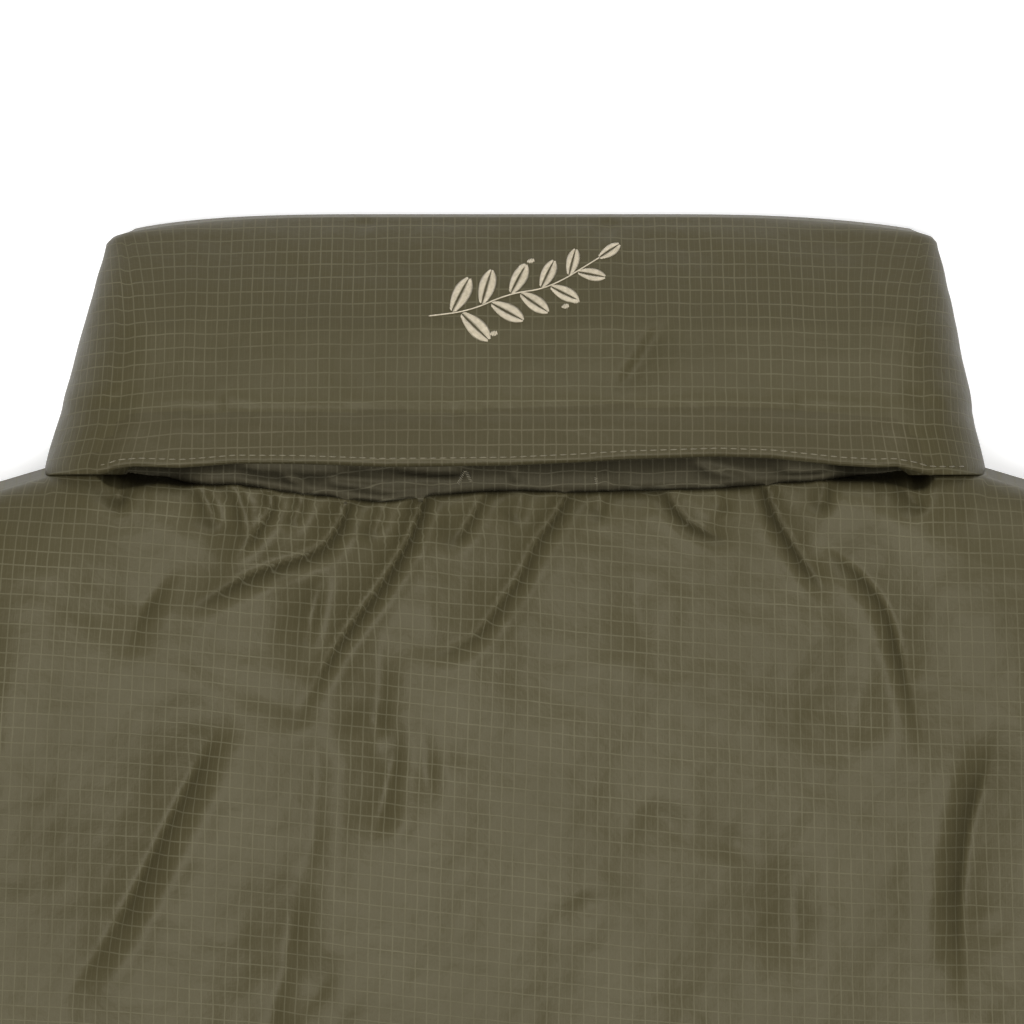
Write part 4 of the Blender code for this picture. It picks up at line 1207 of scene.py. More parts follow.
@dataclass
class Collar:
    """The tall stand collar: a padded ring, open at the zip, with a free lower edge behind."""

    cloth: Cloth
    # The lower band's darker material: the doubled cloth's own tone, and painted shade.
    band: bpy.types.Material
    flat_half: float = 113.0
    even_half: float = 90.0
    top_flat_half: float = 40.0
    top_side_half: float = 127.0
    top_rise: float = 2.4
    corner: float = 7.0
    top_side_y: float = 71.6
    front_top_centre: float = 22.0
    front_top_side: float = 66.0
    front_top_half: float = 105.0
    slit: float = 0.6
    lip_wall: float = 4.0
    pocket_height: float = 6.6
    end_drop: float = 12.0
    top_round: float = 4.0
    lip_round: float = 1.3
    hem_band: float = 17.0
    hem_step: float = 0.7
    band_dip: float = 0.5
    band_middle: float = 13.0
    band_half: float = 130.0
    calm_from: float = 74.0
    outer_points: int = 60
    side_steps: int = 30
    side_reach: float = 20.0
    topstitch: Seam = field(default_factory=lambda: Seam(3.0, 2.6, 0.42, 0.05))

    def relief(self, x: Array, y: Array) -> Array:
        """How far the cloth stands off its plain shape, measured round the collar from behind."""
        fade = ease((self.calm_from - y) / 8.0)
        waves = 0.45 * ripples(x, y, 30.0, 11) + 0.13 * ripples(x, y, 11.0, 12)
        band = -self.hem_step * (1 - ease((y - self.hem_band + 1.5) / 3.0)) * ease(y / 1.0 + 1.0)
        band -= self.band_dip * bell((y - self.band_middle) / 7.0)
        dent = -0.5 * bell((y - self.hem_band - 0.6 * np.sin(x / 31.0)) / 1.6)
        band = (band + dent) * (1 - 0.8 * ease((np.abs(x) - 100.0) / 18.0))
        return waves * fade * ease(y / 12.0 + 0.4) + band - hollows(COLLAR_CREASES, x, y)

    def aside(self, x: float) -> float:
        """How far a place lies on the way from the even middle to where the collar turns."""
        return max(0.0, (abs(x) - self.even_half) / (self.flat_half - self.even_half))

    def top(self, x: float, turn: float) -> float:
        """The height in plan of the collar's top edge, behind (turn 1) to in front (-1)."""
        if abs(turn) == 1:
            at = abs(x) + self.corner * self.aside(x) ** 2
        else:
            at = self.top_side_half - self.corner * (1 - math.cos(math.asin(turn)))
        share = np.clip((at - self.top_flat_half) / (self.top_side_half - self.top_flat_half), 0, 1)
        behind = blend(PATTERN.collar_height + self.top_rise, self.top_side_y, share**3)
        front_share = min(1.0, abs(x) / self.front_top_half)
        front = blend(self.front_top_centre, self.front_top_side, math.sin(math.pi / 2 * front_share) ** 2)
        return float(blend(behind, front, ((1 - turn) / 2) ** 2))

    def section(self, x: float, turn: float, around: float) -> tuple[Array, Array, Array]:
        """The collar's section at one place round it.

        Args:
            x: Its distance from the centre line, where it is flat.
            turn: 1 behind, 0 at the side and -1 in front.
            around: How far round the collar it lies, for the cloth's waves.

        Returns:
            The heights in plan, the depths out from the collar's middle, and the way along the cloth.
        """
        to_front = (1 - turn) / 2
        if 0 < turn < 1:
            x = math.copysign(self.flat_half + 1 + PATTERN.neck_middle * math.cos(math.asin(turn)), x)
        mouth = float(PATTERN.mouth_open(x)) if turn > 0.7 else 0.0
        base = float(blend(PATTERN.gather(x), PATTERN.front_neck(x), to_front)) + PATTERN.seam_gap
        start, top = float(blend(base, PATTERN.lip(x), mouth)), self.top(x, turn)
        lowest = float(PATTERN.channel(x)) if turn == -1 else 0.0
        rise = graded(((0, 0.5), (1.5, 0.5), (6, 1.4), (top - start, 1.2)))
        rise = np.interp(np.linspace(0, 1, self.outer_points), np.linspace(0, 1, len(rise)), rise / rise[-1])
        y = blend(start, top, rise)
        narrow = self.aside(x) if abs(turn) == 1 else 1.0
        flare = 1 - round_off(top - y, blend(self.top_round, 2.4, narrow))
        plain = np.maximum(PATTERN.middle(0.0, y) - lowest, self.slit + 1.2)
        fold = self.lip_round * (1 - round_off(y - start, self.lip_round)) * mouth
        strength = 1.0 if turn > -1 else 0.25
        outer = plain - (plain - self.slit) * flare * 0.75 - fold + strength * self.relief(around, y)
        edge = float(outer[0])
        floor = PATTERN.pocket_floor - PATTERN.neck_middle
        floor -= self.end_drop * float(ease((abs(x) - self.even_half) / 12.0))
        shut = np.linspace(edge, self.slit, 8)[1:6]
        deep, lip = start + PATTERN.pocket_depth, edge - self.lip_wall
        lips_y = (
            start - 0.25 * mouth,
            blend(base, start + 0.8, mouth),
            blend(base, deep, mouth),
            blend(base, deep, mouth),
            base,
        )
        lips_d = (
            blend(shut[0], edge - self.lip_wall / 2, mouth),
            blend(shut[1], lip, mouth),
            blend(shut[2], floor + self.pocket_height, mouth),
            blend(shut[3], floor, mouth),
            blend(shut[4], floor, mouth),
        )
        inner = np.array((0.0, 0.33, 0.66, 0.97))
        inner_d = np.full(4, self.slit)
        height = np.concatenate((y, blend(base, top, inner)[::-1], lips_y[::-1]))
        depth = np.concatenate((outer, inner_d, lips_d[::-1]))
        return height, depth, ways_along(np.column_stack((height, depth))) + start

    def build(self) -> bpy.types.Object:
        """Builds the collar as one skin through its sections, from one zip edge round to the other."""
        flat = self.flat_half
        turns = np.cos(np.linspace(0, np.pi, self.side_steps + 2))[1:-1]
        near, far = PATTERN.zip_step
        front = graded(((0.4, 1.5), (near, 1.5), (far, 0.3), (12, 2.0), (flat, 4.0)))
        behind = np.linspace(-flat, flat, 170)
        places, cuts = [], []

        def add(x: float, side: int, turn: float) -> None:
            """Adds one section, placed."""
            angle = math.asin(turn)
            around = side * (flat + (math.pi / 2 - angle) * self.side_reach) if abs(turn) < 1 else x
            height, depth, way = self.section(x, turn, around)
            middle = PATTERN.middle(0.0, height)
            line = PATTERN.collar_right if side == 1 else PATTERN.collar_left
            if abs(turn) == 1:
                share = self.aside(x) ** 2
                bend = np.abs(PATTERN.collar_at(height, line)) - middle - flat
                across, lift = x + side * share * bend, middle + turn * depth
                u = x if turn == 1 else side * (2 * flat + math.pi * self.side_reach) - x
                spread = np.full_like(height, u)
            else:
                across = PATTERN.collar_at(height, line) - side * middle + side * depth * math.cos(angle)
                lift = middle + depth * math.sin(angle)
                spread = side * (flat + (math.pi / 2 - angle) * depth)
            places.append(np.column_stack((across, height, np.maximum(lift, 0.0))))
            curve = 5.5 * np.abs(np.clip(spread / 150.0, -1, 1)) ** 3.2
            cuts.append(np.column_stack((spread, way + curve)))

        for x in front:
            add(float(x), 1, -1)
        for turn in turns[::-1]:
            add(PATTERN.collar_right[0], 1, float(turn))
        for x in behind[::-1]:
            add(float(x), 1 if x > 0 else -1, 1)
        for turn in turns:
            add(PATTERN.collar_left[0], -1, float(turn))
        for x in front[::-1]:
            add(-float(x), -1, -1)
        piece = self.cloth.dress(loft("collar_shell", np.array(places), np.array(cuts), ring=False), "collar")
        self.darken_band(piece, np.array(cuts))
        return piece

    def darken_band(self, piece: bpy.types.Object, cuts: Array) -> None:
        """Gives the free lower edge's band a darker material: the doubled cloth's own tone, and painted
        shade.
        """
        piece.data.materials.append(self.band)
        across = cuts[:-1, : self.outer_points - 1, 0]
        up = cuts[:-1, : self.outer_points - 1, 1]
        high = self.hem_band + 0.9 * np.sin(across / 31.0) + 0.5 * np.sin(across / 11.0)
        within = up < high * ease((self.band_half - np.abs(across)) / 14.0)
        around = cuts.shape[1]
        for section, row in zip(*np.nonzero(within)):
            piece.data.polygons[int(section) * around + int(row)].material_index = 1

    def height(self, x: Array, y: Array) -> Array:
        """The outer surface behind, where the collar is flat."""
        start = PATTERN.lip(x)
        fold = self.lip_round * (1 - round_off(y - start, self.lip_round)) * PATTERN.mouth_open(x)
        aside = np.clip((np.abs(x) - self.flat_half - 1) / PATTERN.neck_middle, 0, 0.98)
        return PATTERN.middle(0.0, y) * (1 + np.sqrt(1 - aside**2)) - fold + self.relief(x, y)

    def sew(self) -> None:
        """Sews the row along the free lower edge."""
        x = np.linspace(-self.flat_half - 21, self.flat_half + 21, 170)
        run = np.column_stack((x, PATTERN.lip(x) + 2.3))
        self.cloth.sew("collar_topstitch", run, self.height, seam=self.topstitch)


@dataclass
class Facing:
    """The inner layer that shows in the hood pocket's mouth."""

    # Its darker cloth holds painted shade of the pocket's mouth as well as its own greyer tone.
    finish: bpy.types.Material
    thread: bpy.types.Material
    half: float = 121.0
    even_half: float = 92.0
    end_drop: float = 10.8
    end_reach: float = 13.0
    sag: float = 1.2
    thickness: float = 0.5
    under_lip: float = 10.5
    at_back: float = -1.2
    low: float = 42.4
    lift: float = 3.8
    gather_dip: float = 3.4
    dip_reach: float = 2.4

    def height(self, x: Array, y: Array) -> Array:
        """The facing's upper surface."""
        share = ease((PATTERN.lip(x) + 2 - y) / (PATTERN.lip(x) + 2 - PATTERN.gather(x)))
        pleats = 0.8 * ripples(x, y / 5.0, 9.0, 21, 7) * share + 0.4 * ripples(x, y, 26.0, 22)
        ends = self.end_drop * ease((np.abs(x) - self.even_half) / self.end_reach)
        sag = self.sag * bell((x + 52.0) / 30.0) + 0.5 * self.sag * bell((x - 84.0) / 18.0)
        dip = self.gather_dip * ease(1.0 - (y - PATTERN.gather(x)) / self.dip_reach)
        rise = self.lift * (0.4 * ease(share * 5.0) + 0.6 * ease(share * 1.7)) + 0.3 + pleats * 0.8
        rise -= sag * (1 - share) + hollows(FACING_CREASES, x, y)
        return self.low + 0.2 + 0.5 * (rise + np.sqrt(rise**2 + 0.2)) - ends - dip * share

    def build(self) -> bpy.types.Object:
        """Builds the facing as a thin sheet with its two tacks."""
        columns, rows = np.linspace(-self.half, self.half, 220), np.linspace(0, 1, 24)
        x, down = np.meshgrid(columns, rows)
        y = blend(PATTERN.lip(x) + self.under_lip, PATTERN.gather(x) + self.at_back, down)
        outer = np.stack((x, y, self.height(x, y)), axis=-1)
        inner = outer - (0, 0, self.thickness)
        lean = 1.7 * bell((x + 66.0) / 22.0) - 1.2 * bell((x + 26.0) / 16.0)
        lean += 0.5 * ripples(x, y / 4.0, 22.0, 31)
        cut = np.stack((x + 1.2, y + lean + arc_drift(outer, 0, 20.0)), axis=-1)
        piece = panel("facing", outer, inner, cut, (23, 110), tuck=0.0)
        piece.data.materials.append(self.finish)
        tacks = self.tacks()
        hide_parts("hood_pocket_facing")
        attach(piece, ROOT)
        log.info("%s: %d faces", piece.name, len(piece.data.polygons))
        return piece

    def tacks(self) -> bpy.types.Object:
        """Sews the two small tacks that hold the facing."""
        runs = (((-17.5, -5.6), (-15.2, -1.6)), ((-15.2, -1.6), (-13.4, -5.0)), ((24.0, -3.6), (24.2, -5.8)))
        places, ahead = [], []
        for run in runs:
            spots, way = even_run(np.array(run), 0.55)
            places.append(spots)
            ahead.append(np.column_stack((-way[:, 1], way[:, 0])) + 0.4 * way)
        places, ahead = np.vstack(places), np.vstack(ahead)
        up = normals(self.height, *places.T)
        lying = np.column_stack((places, self.height(*places.T) + 0.05))
        level = np.column_stack((ahead, np.zeros(len(ahead))))
        row = STITCH.lay("facing_tacks", lying, level, up, 1.3, 0.4, 0.3, self.thread)
        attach(row, ROOT)
        return row


@dataclass
class Front:
    """A padded front, flat on what the jacket lies on, from the zip to the side seam."""

    cloth: Cloth
    side: int
    edge_x: float = 0.4
    straight_to: float = 31.0
    under_sleeve: float = 2.0
    stitch_x: tuple[float, float] = (9.0, 15.0)
    hem_row: float = 22.0
    hem_dent: float = 1.8

    def low(self, x: Array, y: Array) -> Array:
        """The outer surface, which faces down."""
        top = PATTERN.middle(x, y) - PATTERN.seam_gap
        swell = round_off(PATTERN.to_seams(x, y, (self.side,)), PATTERN.edge_round)
        edge = (top - PATTERN.seam_wall) * (1 - swell)
        dent = self.hem_dent * bell((y - PATTERN.hem_y(x) - self.hem_row) / 4.0)
        return np.maximum(edge, np.minimum(PATTERN.channel(x), top - 2.0)) + dent

    def place(self, x: Array, down: Array) -> tuple[Array, Array]:
        """A place inside the front's four sides, from its column and its share down."""
        corner, foot, right = PATTERN.side(0.0), PATTERN.side(1.0), PATTERN.side(down)
        share = np.maximum(0.0, (x - self.straight_to) / (corner[0] - self.straight_to))
        hem_x = x + (foot[0] - corner[0]) * share
        plan_x = blend(x, hem_x, down) + share * (right[..., 0] - blend(corner[0], foot[0], down))
        plan_y = blend(PATTERN.front_top(x), PATTERN.hem_y(hem_x), down)
        plan_y += share * (right[..., 1] - blend(corner[1], foot[1], down))
        return self.side * plan_x, plan_y

    def build(self) -> bpy.types.Object:
        """Builds the front and sews its zip edge and hem."""
        name = "right" if self.side == 1 else "left"
        near, far = PATTERN.zip_step
        columns = graded(((self.edge_x, 2.0), (near, 2.0), (far, 0.3), (24, 2.0), (150, 5.0), (250, 4.0)))
        rows = graded(((0, 1.0), (20, 3.0), (600, 5.0), (625, 1.6), (640, 1.6))) / 640.0
        x, y = self.place(*np.meshgrid(columns, rows))
        outer = np.stack((x, y, self.low(x, y)), axis=-1)
        inner = np.stack((x, y, PATTERN.middle(x, y) - PATTERN.seam_gap), axis=-1)
        cut = np.stack((x + arc_drift(outer, 1, 30.0), y), axis=-1)
        side = np.where(y[:, -1] > PATTERN.underarm[1], -self.under_sleeve, 0.6)
        piece = panel(f"front_{name}_panel", outer, inner, cut, (12, 12), tuck=0.6, reaches={"last": side})
        if self.side == -1:
            face_out(piece)
        self.cloth.dress(piece, f"front_{name}")
        down = np.linspace(0.02, 0.985, 60)
        for number, x in enumerate(self.stitch_x):
            run = np.column_stack(self.place(np.full_like(down, x), down))
            self.cloth.sew(f"front_{name}_zip_stitch_{number}", run, self.low, side=-1)
        across = np.linspace(0.13, 0.94, 60) * PATTERN.hem_side[0]
        run = np.column_stack((self.side * across, PATTERN.hem_y(across) + self.hem_row))
        self.cloth.sew(f"front_{name}_hem_stitch", run, self.low, side=-1)
        return piece


# Creases on a sleeve: each one's place along it, its middle across, its slant, its reach across, its
# width as a share of the sleeve's length, and its depth.
SLEEVE_CREASES = (
    (0.10, 0.46, 0.16, 0.22, 0.020, 2.0),
    (0.16, 0.30, 0.10, 0.30, 0.026, 2.8),
    (0.21, 0.84, -0.10, 0.22, 0.018, 2.0),
    (0.25, 0.72, -0.08, 0.34, 0.024, 3.0),
    (0.33, 0.80, 0.05, 0.26, 0.018, 2.2),
    (0.40, 0.62, -0.05, 0.36, 0.022, 2.8),
    (0.46, 0.84, 0.06, 0.24, 0.016, 2.4),
    (0.52, 0.70, 0.04, 0.42, 0.020, 3.2),
    (0.57, 0.88, -0.05, 0.22, 0.015, 2.0),
    (0.60, 0.38, 0.06, 0.34, 0.020, 2.4),
    (0.68, 0.70, -0.06, 0.30, 0.016, 1.8),
    (0.74, 0.58, -0.05, 0.38, 0.020, 2.2),
    (0.81, 0.34, 0.05, 0.28, 0.015, 1.5),
    (0.88, 0.44, 0.05, 0.40, 0.018, 1.8),
    (0.94, 0.62, -0.04, 0.36, 0.014, 1.3),
)


@dataclass
class Sleeve:
    """A sleeve: a flattened padded tube, open at the armhole and at the cuff."""

    cloth: Cloth
    side: int
    overarm_bends: tuple[tuple[float, float], ...] = ((392.0, -72.0), (520.0, -330.0))
    cuff_outer: tuple[float, float] = (631.0, -570.0)
    cuff_inner: tuple[float, float] = (543.0, -632.0)
    underarm_bend: tuple[float, float] = (418.0, -452.0)
    loft: float = 33.0
    round_edge: float = 30.0
    slit: float = 1.6
    side_wall: float = 9.0
    gap: float = 0.9
    points: int = 56
    cuff_stitch: float = 20.0

    def place(self, along: Array, across: Array) -> Array:
        """Places on the sleeve, bowed at the armhole and then straight, on the wearer's right."""
        over = bezier((PATTERN.shoulder_end, *self.overarm_bends, self.cuff_outer), along)
        under = bezier((PATTERN.underarm, self.underarm_bend, self.cuff_inner), along)
        across = np.asarray(across, float)[..., None]
        bow = PATTERN.armhole(across[..., 0]) - blend(PATTERN.armhole(0.0), PATTERN.armhole(1.0), across)
        step = self.gap * np.concatenate((np.ones_like(across), across**4), axis=-1)
        return blend(over, under, across) + bow * (1 - ease(np.asarray(along)[..., None] / 0.35)) + step

    def heights(self, along: Array, across: Array) -> tuple[Array, Array, Array]:
        """The sleeve's outer surface above and below, and its middle."""
        ends = self.place(along, np.zeros_like(along)), self.place(along, np.ones_like(along))
        width = np.linalg.norm(ends[0] - ends[1], axis=-1)
        armhole = PATTERN.armhole(across)
        seam = PATTERN.middle(armhole[..., 0], armhole[..., 1])
        halfway = np.full_like(along, 0.5)
        from_armhole = self.place(along, halfway) - self.place(np.zeros_like(along), halfway)
        length = np.linalg.norm(from_armhole, axis=-1)
        puff, cuff = round_off(length, PATTERN.edge_round), blend(1.0, 0.7, ease((along - 0.8) / 0.2))
        middle = blend(seam, self.loft / 2 * cuff, ease(along / 0.3))
        edge = round_off(width * np.minimum(across, 1 - across), self.round_edge)
        rim = blend(PATTERN.seam_wall + PATTERN.seam_gap, 1.6, ease(length / PATTERN.edge_round))
        x, y = self.place(along, across)[..., 0], self.place(along, across)[..., 1]
        top = middle + rim + (self.loft * cuff - middle - rim) * puff * edge
        waves = 0.5 * ripples(x, y, 30.0, 31 + self.side) + 0.16 * ripples(x, y, 11.0, 35 + self.side)
        top -= (self.creases(along, across) + waves) * puff * edge
        return top, middle - rim - (middle - rim) * puff * edge, middle

    def creases(self, along: Array, across: Array) -> Array:
        """How far the creases pull the surface down."""
        total = np.zeros(np.shape(along))
        for at, centre, slant, length, width, depth in SLEEVE_CREASES:
            if self.side == -1:
                at, centre = at + 0.012, 0.96 - 0.92 * centre
            off = (along - at - slant * (across - centre)) / width
            profile = bell(off) - 0.3 * bell(off - 1.8) - 0.2 * bell(off + 1.8)
            total += depth * profile * np.exp(-(((across - centre) / length) ** 4))
        return total

    def loops(self, along: Array) -> tuple[Array, Array]:
        """The sleeve's outer and inner loops at some stations."""
        shares = 0.5 - 0.5 * np.cos(np.linspace(0, np.pi, self.points))
        shares = blend(np.linspace(0, 1, self.points), shares, 0.6)
        run, across = np.meshgrid(along, shares, indexing="ij")
        top, low, middle = self.heights(run, across)
        plan = self.place(run, across)
        over, under = self.place(along, np.zeros_like(along)), self.place(along, np.ones_like(along))
        inset = (self.side_wall / np.linalg.norm(over - under, axis=-1))[:, None]
        within = blend(inset, 1 - inset, across)
        inner_plan, inner_middle = self.place(run, within), self.heights(run, within)[2]
        upper, lower = (np.concatenate((plan, z[..., None]), axis=-1) for z in (top, low))
        inside = (inner_middle + self.slit / 2, inner_middle - self.slit / 2)
        ceiling, floor = (np.concatenate((inner_plan, z[..., None]), axis=-1) for z in inside)
        flip = np.array((self.side, 1.0, 1.0))
        outer = np.concatenate((upper, lower[:, ::-1]), axis=1) * flip
        return outer, np.concatenate((ceiling, floor[:, ::-1]), axis=1) * flip

    def build(self) -> bpy.types.Object:
        """Builds the sleeve and sews its armhole and cuff."""
        name = "right" if self.side == 1 else "left"
        along = graded(((0, 0.0015), (0.05, 0.004), (0.97, 0.0062), (1.0, 0.002)))
        outer, inner = self.loops(along)[0], self.loops(np.linspace(1.0, 0.0, 12))[1]
        places = np.concatenate((outer, inner))
        way = np.zeros(places.shape[:2])
        way[:, 1:] = np.cumsum(np.linalg.norm(np.diff(places, axis=1), axis=-1), axis=1)
        length = np.cumsum(np.linalg.norm(np.diff(places, axis=0), axis=-1).mean(axis=1))
        length = np.broadcast_to(np.concatenate(((0.0,), length))[:, None], way.shape)
        middle = self.points // 2 - 1
        cut = np.stack((way - way[:, middle : middle + 1], length), axis=-1)
        piece = loft(f"sleeve_{name}_tube", places, cut, ring=True)
        self.cloth.dress(piece, f"sleeve_{name}")
        self.sew_across(f"sleeve_{name}_armhole_stitch", 6.0)
        self.sew_across(f"sleeve_{name}_cuff_stitch", -self.cuff_stitch)
        return piece

    def sew_across(self, name: str, offset: float) -> None:
        """Sews a row across the sleeve, this far from the armhole or, if negative, from the cuff."""
        shares, step = np.linspace(0.04, 0.96, 80), 0.02
        start = 0.0 if offset > 0 else 1.0
        near = self.place(np.full_like(shares, start), shares)
        beside = self.place(np.full_like(shares, start + math.copysign(step, offset)), shares)
        along = start + step * offset / np.linalg.norm(beside - near, axis=-1)
        top = self.heights(along, shares)[0]
        plan = self.place(along, shares)
        run = np.column_stack((plan[:, 0] * self.side, plan[:, 1], top))
        places, ahead = even_run(run, self.cloth.seam.pitch)
        up = np.tile((0.0, 0.0, 1.0), (len(places), 1))
        seam = self.cloth.seam
        row = STITCH.lay(name, places, ahead, up, seam.length, seam.width, seam.width, self.cloth.thread)
        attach(row, ROOT)


@dataclass
class Zip:
    """The zip on the centre line of the underside: tapes, teeth, slider, pull tab and box."""

    tape: bpy.types.Material
    metal: bpy.types.Material
    tooth: bpy.types.Material
    near: float = 1.5
    far: float = 10.6
    low: float = 5.0
    high: float = 6.2
    chain: tuple[float, float] = (4.3, 6.9)
    pitch: float = 2.6
    tooth_width: float = 1.35
    tooth_x: float = 0.62
    reach: float = 1.9
    tucked: float = 1.2

    def build(self) -> None:
        """Builds the tapes and teeth, and finishes the metal pieces."""
        for name, side in (("left", -1), ("right", 1)):
            node = f"zip_tape_{name}"
            lowest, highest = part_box(node)
            y = np.linspace(lowest.y / MM, highest.y / MM, 140) - PATTERN.seam_y
            x, run = np.meshgrid(side * np.linspace(self.near - self.tucked, self.far, 8), y[::-1])
            wave = 0.08 * np.sin(run / 9.0)
            outer = np.stack((x, run, np.full_like(x, self.low) + wave), axis=-1)
            inner = outer + (0, 0, self.high - self.low)
            tape = panel(f"zip_{name}_tape", outer, inner, outer[..., :2].copy(), (139, 7), tuck=0.0)
            face_out(tape)
            tape.data.materials.append(self.tape)
            teeth = self.teeth(f"zip_{name}_teeth", side, y)
            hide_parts(node)
            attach(tape, ROOT)
            log.info("%s: %d faces of teeth", tape.name, len(teeth.data.polygons))
        for node in ("zip_slider", "zip_pull", "zip_box"):
            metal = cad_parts[node]
            metal.data.materials.clear()
            metal.data.materials.append(self.metal)

    def teeth(self, name: str, side: int, y: Array) -> bpy.types.Object:
        """Lays one side's teeth, a step out of line with the other side's."""
        spots = np.arange(y.min() + self.pitch * (0.5 if side == 1 else 1.0), y.max() - 0.5, self.pitch)
        aside, level = np.full_like(spots, side * self.tooth_x), np.full_like(spots, sum(self.chain) / 2)
        places = np.column_stack((aside, spots, level))
        ahead = np.tile((0.0, 0.0, 1.0), (len(spots), 1))
        up = np.tile((1.0, 0.0, 0.0), (len(spots), 1))
        height = self.chain[1] - self.chain[0]
        row = TOOTH.lay(name, places, ahead, up, height, self.tooth_width, self.reach, self.tooth)
        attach(row, ROOT)
        return row


@dataclass
class Sprig:
    """A leaf sprig in satin stitch on the middle of the collar."""

    finish: bpy.types.Material
    surface: Surface
    stem: tuple[tuple[float, float], ...] = ((-26, 45), (-14, 46.5), (-2, 52), (10, 53.5), (25, 63))
    stem_pitch: float = 1.1
    stem_stitch: float = 2.0
    berries: tuple[tuple[float, float], ...] = (
        *((-9.5, 40.8), (-6.6, 39.6), (15.0, 48.0)),
        *((18.2, 49.6), (2.0, 60.5), (4.6, 62.2)),
    )
    leaf_length: float = 12.5
    leaf_width: float = 5.6
    leaves: int = 6
    slant: tuple[float, float] = (0.62, 0.78)
    pitch: float = 0.44
    thread: float = 0.46
    flatness: float = 0.9
    lift: float = 0.12

    def build(self) -> bpy.types.Object:
        """Sews the stem, its pairs of leaves and a few berries."""
        run = rounded_run(self.stem)
        spots, ways = even_run(run, self.stem_pitch)
        places, ahead, spans = [spots], [ways], [np.full(len(spots), self.stem_stitch)]
        for k in range(self.leaves):
            stop = ways_along(run)[-1] * (0.14 + 0.86 * k / (self.leaves - 1))
            root, way = on_run(run, stop), on_run(run, stop + 0.5) - on_run(run, stop - 0.5)
            heading = math.atan2(way[1], way[0])
            size = 1.0 - 0.07 * k
            turns = (0.95, -0.95) if k < self.leaves - 1 else (0.05,)
            for turn in turns:
                shift = 1.6 if turn < 0 else -1.2
                start = root + shift * np.array((math.cos(heading), math.sin(heading))) * (len(turns) - 1)
                self.leaf(start, heading + turn * (1.0 - 0.05 * k), size, places, ahead, spans)
        for spot in self.berries:
            self.berry(np.array(spot, float), places, ahead, spans)
        places, ahead, spans = np.vstack(places), np.vstack(ahead), np.concatenate(spans)
        up = normals(self.surface, *places.T)
        lying = np.column_stack((places, self.surface(*places.T))) + up * self.lift
        height = self.thread * self.flatness
        along = on_slope(ahead, up)
        piece = STITCH.lay("collar_sprig", lying, along, up, spans, self.thread, height, self.finish)
        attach(piece, ROOT)
        log.info("%s: %d stitches", piece.name, len(spans))
        return piece

    def leaf(self, root: Array, heading: float, size: float, places: list, ahead: list, spans: list) -> None:
        """Adds one leaf's slanted stitches, on both sides of its vein."""
        length, width = self.leaf_length * size, self.leaf_width * size / 2
        forward = np.array((math.cos(heading), math.sin(heading)))
        aside = np.array((-forward[1], forward[0]))
        shares = np.arange(0.06, 0.97, self.pitch / length)
        reach = width * np.sin(np.pi * shares**0.8) ** 0.8
        along, out = self.slant
        for side in (1, -1):
            way = forward * along + aside * side * out
            spans.append(reach / out + 0.25)
            middle = root + shares[:, None] * length * forward + (reach / 2)[:, None] * (way / out)
            places.append(middle + aside * side * 0.12)
            ahead.append(np.tile(way, (len(shares), 1)))

    def berry(self, centre: Array, places: list, ahead: list, spans: list) -> None:
        """Adds one small round berry."""
        offsets = np.arange(-1.0, 1.01, self.pitch)
        places.append(centre + np.column_stack((offsets, 0.25 * offsets)))
        ahead.append(np.tile((-0.24, 0.97), (len(offsets), 1)))
        spans.append(2.0 * np.sqrt(np.maximum(0.15, 1.2 - offsets**2)))


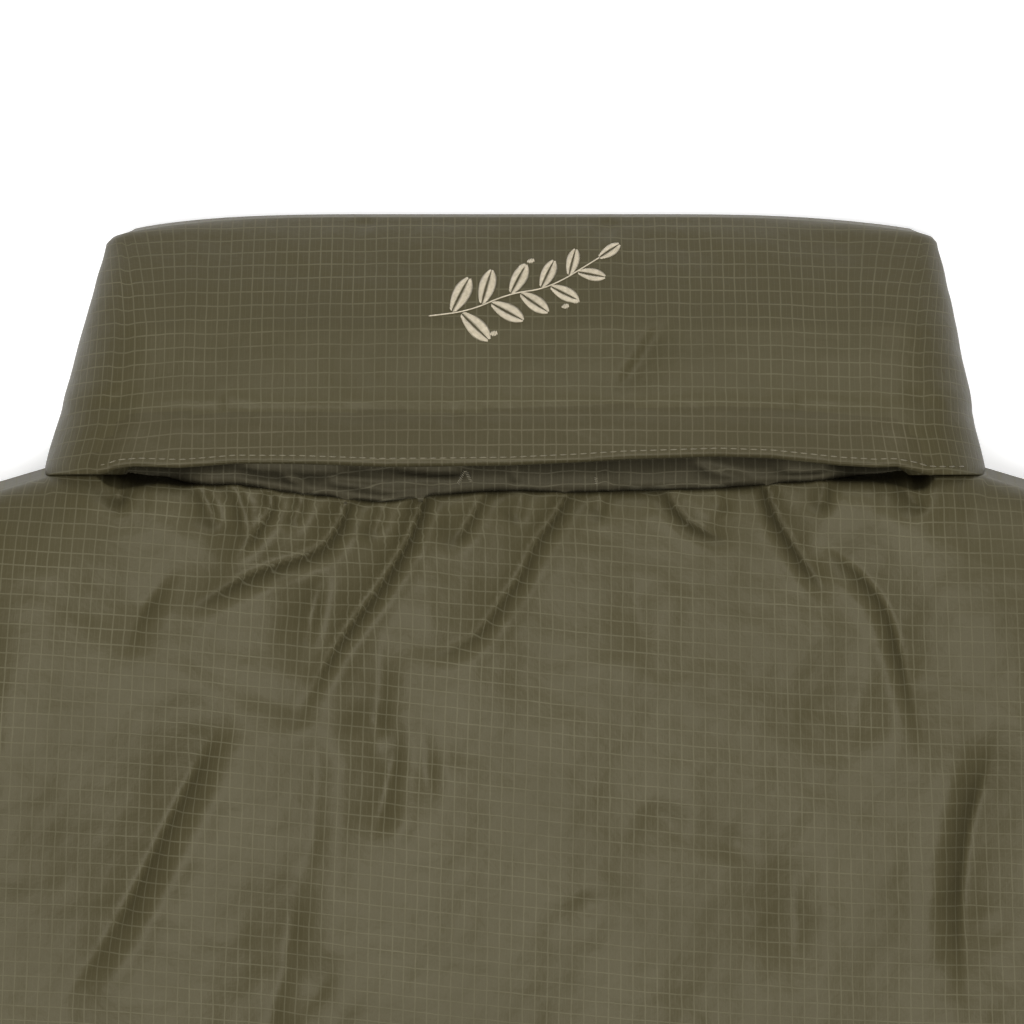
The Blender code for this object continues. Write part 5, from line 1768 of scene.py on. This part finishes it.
@dataclass
class Studio:
    """A white table, soft light from above and the left, and a camera straight above the collar."""

    lens: float = 200.0
    sensor: float = 36.0
    frame_width: float = 307.2
    aim: tuple[float, float, float] = (-1.2, -14.1, 50.0)
    table_half: float = 4.0
    table_glow: float = 0.35
    below: float = 0.5
    sky: float = 0.27

    def build(self) -> None:
        """Builds the table, the lights and the camera."""
        bpy.context.scene.view_settings.view_transform = "Standard"
        self.table()
        world = bpy.data.worlds.new("studio")
        world.use_nodes = True
        sky = world.node_tree.nodes["Background"].inputs
        sky["Color"].default_value, sky["Strength"].default_value = (1.0, 1.0, 1.0, 1.0), self.sky
        bpy.context.scene.world = world
        self.softbox("key", (-0.25, -0.75, 2.1), size=1.4, power=62.0)
        self.softbox("fill", (0.3, 1.5, 1.5), size=1.2, power=26.0)
        data = bpy.data.cameras.new("camera")
        data.lens, data.sensor_width = self.lens, self.sensor
        data.clip_end = 20.0
        camera = put("camera", data)
        away = self.frame_width * self.lens / self.sensor
        camera.location = PATTERN.metres(np.array((self.aim[0], self.aim[1], self.aim[2] + away)))
        bpy.context.scene.camera = camera

    def table(self) -> None:
        """Builds the white table top."""
        half = self.table_half
        mesh = bpy.data.meshes.new("table")
        corners = [(-half, -half, 0.0), (half, -half, 0.0), (half, half, 0.0), (-half, half, 0.0)]
        mesh.from_pydata(corners, [], [(0, 1, 2, 3)])
        table = put("table", mesh)
        table.location.z = -self.below * MM
        white = Web("table_white").finish(
            Base_Color=WHITE, Roughness=0.9, Emission_Color=WHITE, Emission_Strength=self.table_glow
        )
        mesh.materials.append(white)

    def softbox(self, name: str, place: tuple[float, float, float], size: float, power: float) -> None:
        """Adds a square soft light that faces the collar."""
        data = bpy.data.lights.new(name, "AREA")
        data.energy, data.size, data.shape = power, size, "SQUARE"
        light = put(name, data)
        target = Vector((0.0, PATTERN.seam_y * MM, 0.03))
        light.location = Vector(place) + Vector((0.0, target.y, 0.0))
        light.rotation_euler = (target - light.location).to_track_quat("-Z", "Y").to_euler()


def main() -> None:
    """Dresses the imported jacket."""
    logging.basicConfig(level=logging.INFO, format="%(name)s %(message)s")
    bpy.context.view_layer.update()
    shell = Ripstop("shell_ripstop", srgb(62, 57, 38), srgb(89, 85, 66)).make()
    # The band's darker cloth is partly the doubled cloth's own tone and partly painted shade.
    band = Ripstop("band_ripstop_tone_and_shade", srgb(58, 53, 35), srgb(85, 80, 62)).make()
    # The facing's darker, greyer cloth is partly its own tone and partly painted shade of the pocket's mouth.
    inside = Ripstop("facing_ripstop_tone_and_shade", srgb(58, 54, 41), srgb(88, 84, 68), roughness=0.6, gloss=0.08).make()
    # Each thread's darker colour is painted shade between its strands.
    thread = Thread("olive_thread", srgb(104, 97, 73), srgb(66, 60, 43)).make()
    beige = Thread("beige_thread", srgb(200, 189, 165), srgb(134, 123, 99), sheen=0.3).make()
    # The tape's darker colour is painted shade between its ribs.
    tape = Woven("zip_tape", srgb(70, 66, 52), srgb(40, 38, 30)).make()
    metal = Metal("zip_metal", srgb(62, 60, 55), srgb(128, 124, 114)).make()
    tooth = Metal("zip_teeth", srgb(56, 52, 42), srgb(92, 88, 76)).make()
    cloth = Cloth(shell, thread)
    Back(cloth).build()
    collar = Collar(cloth, band)
    collar.build()
    collar.sew()
    Facing(inside, thread).build()
    for side in (-1, 1):
        Front(cloth, side).build()
        Sleeve(cloth, side).build()
    Zip(tape, metal, tooth).build()
    Sprig(beige, collar.height).build()
    Studio().build()


if __name__ == "__main__":
    main()
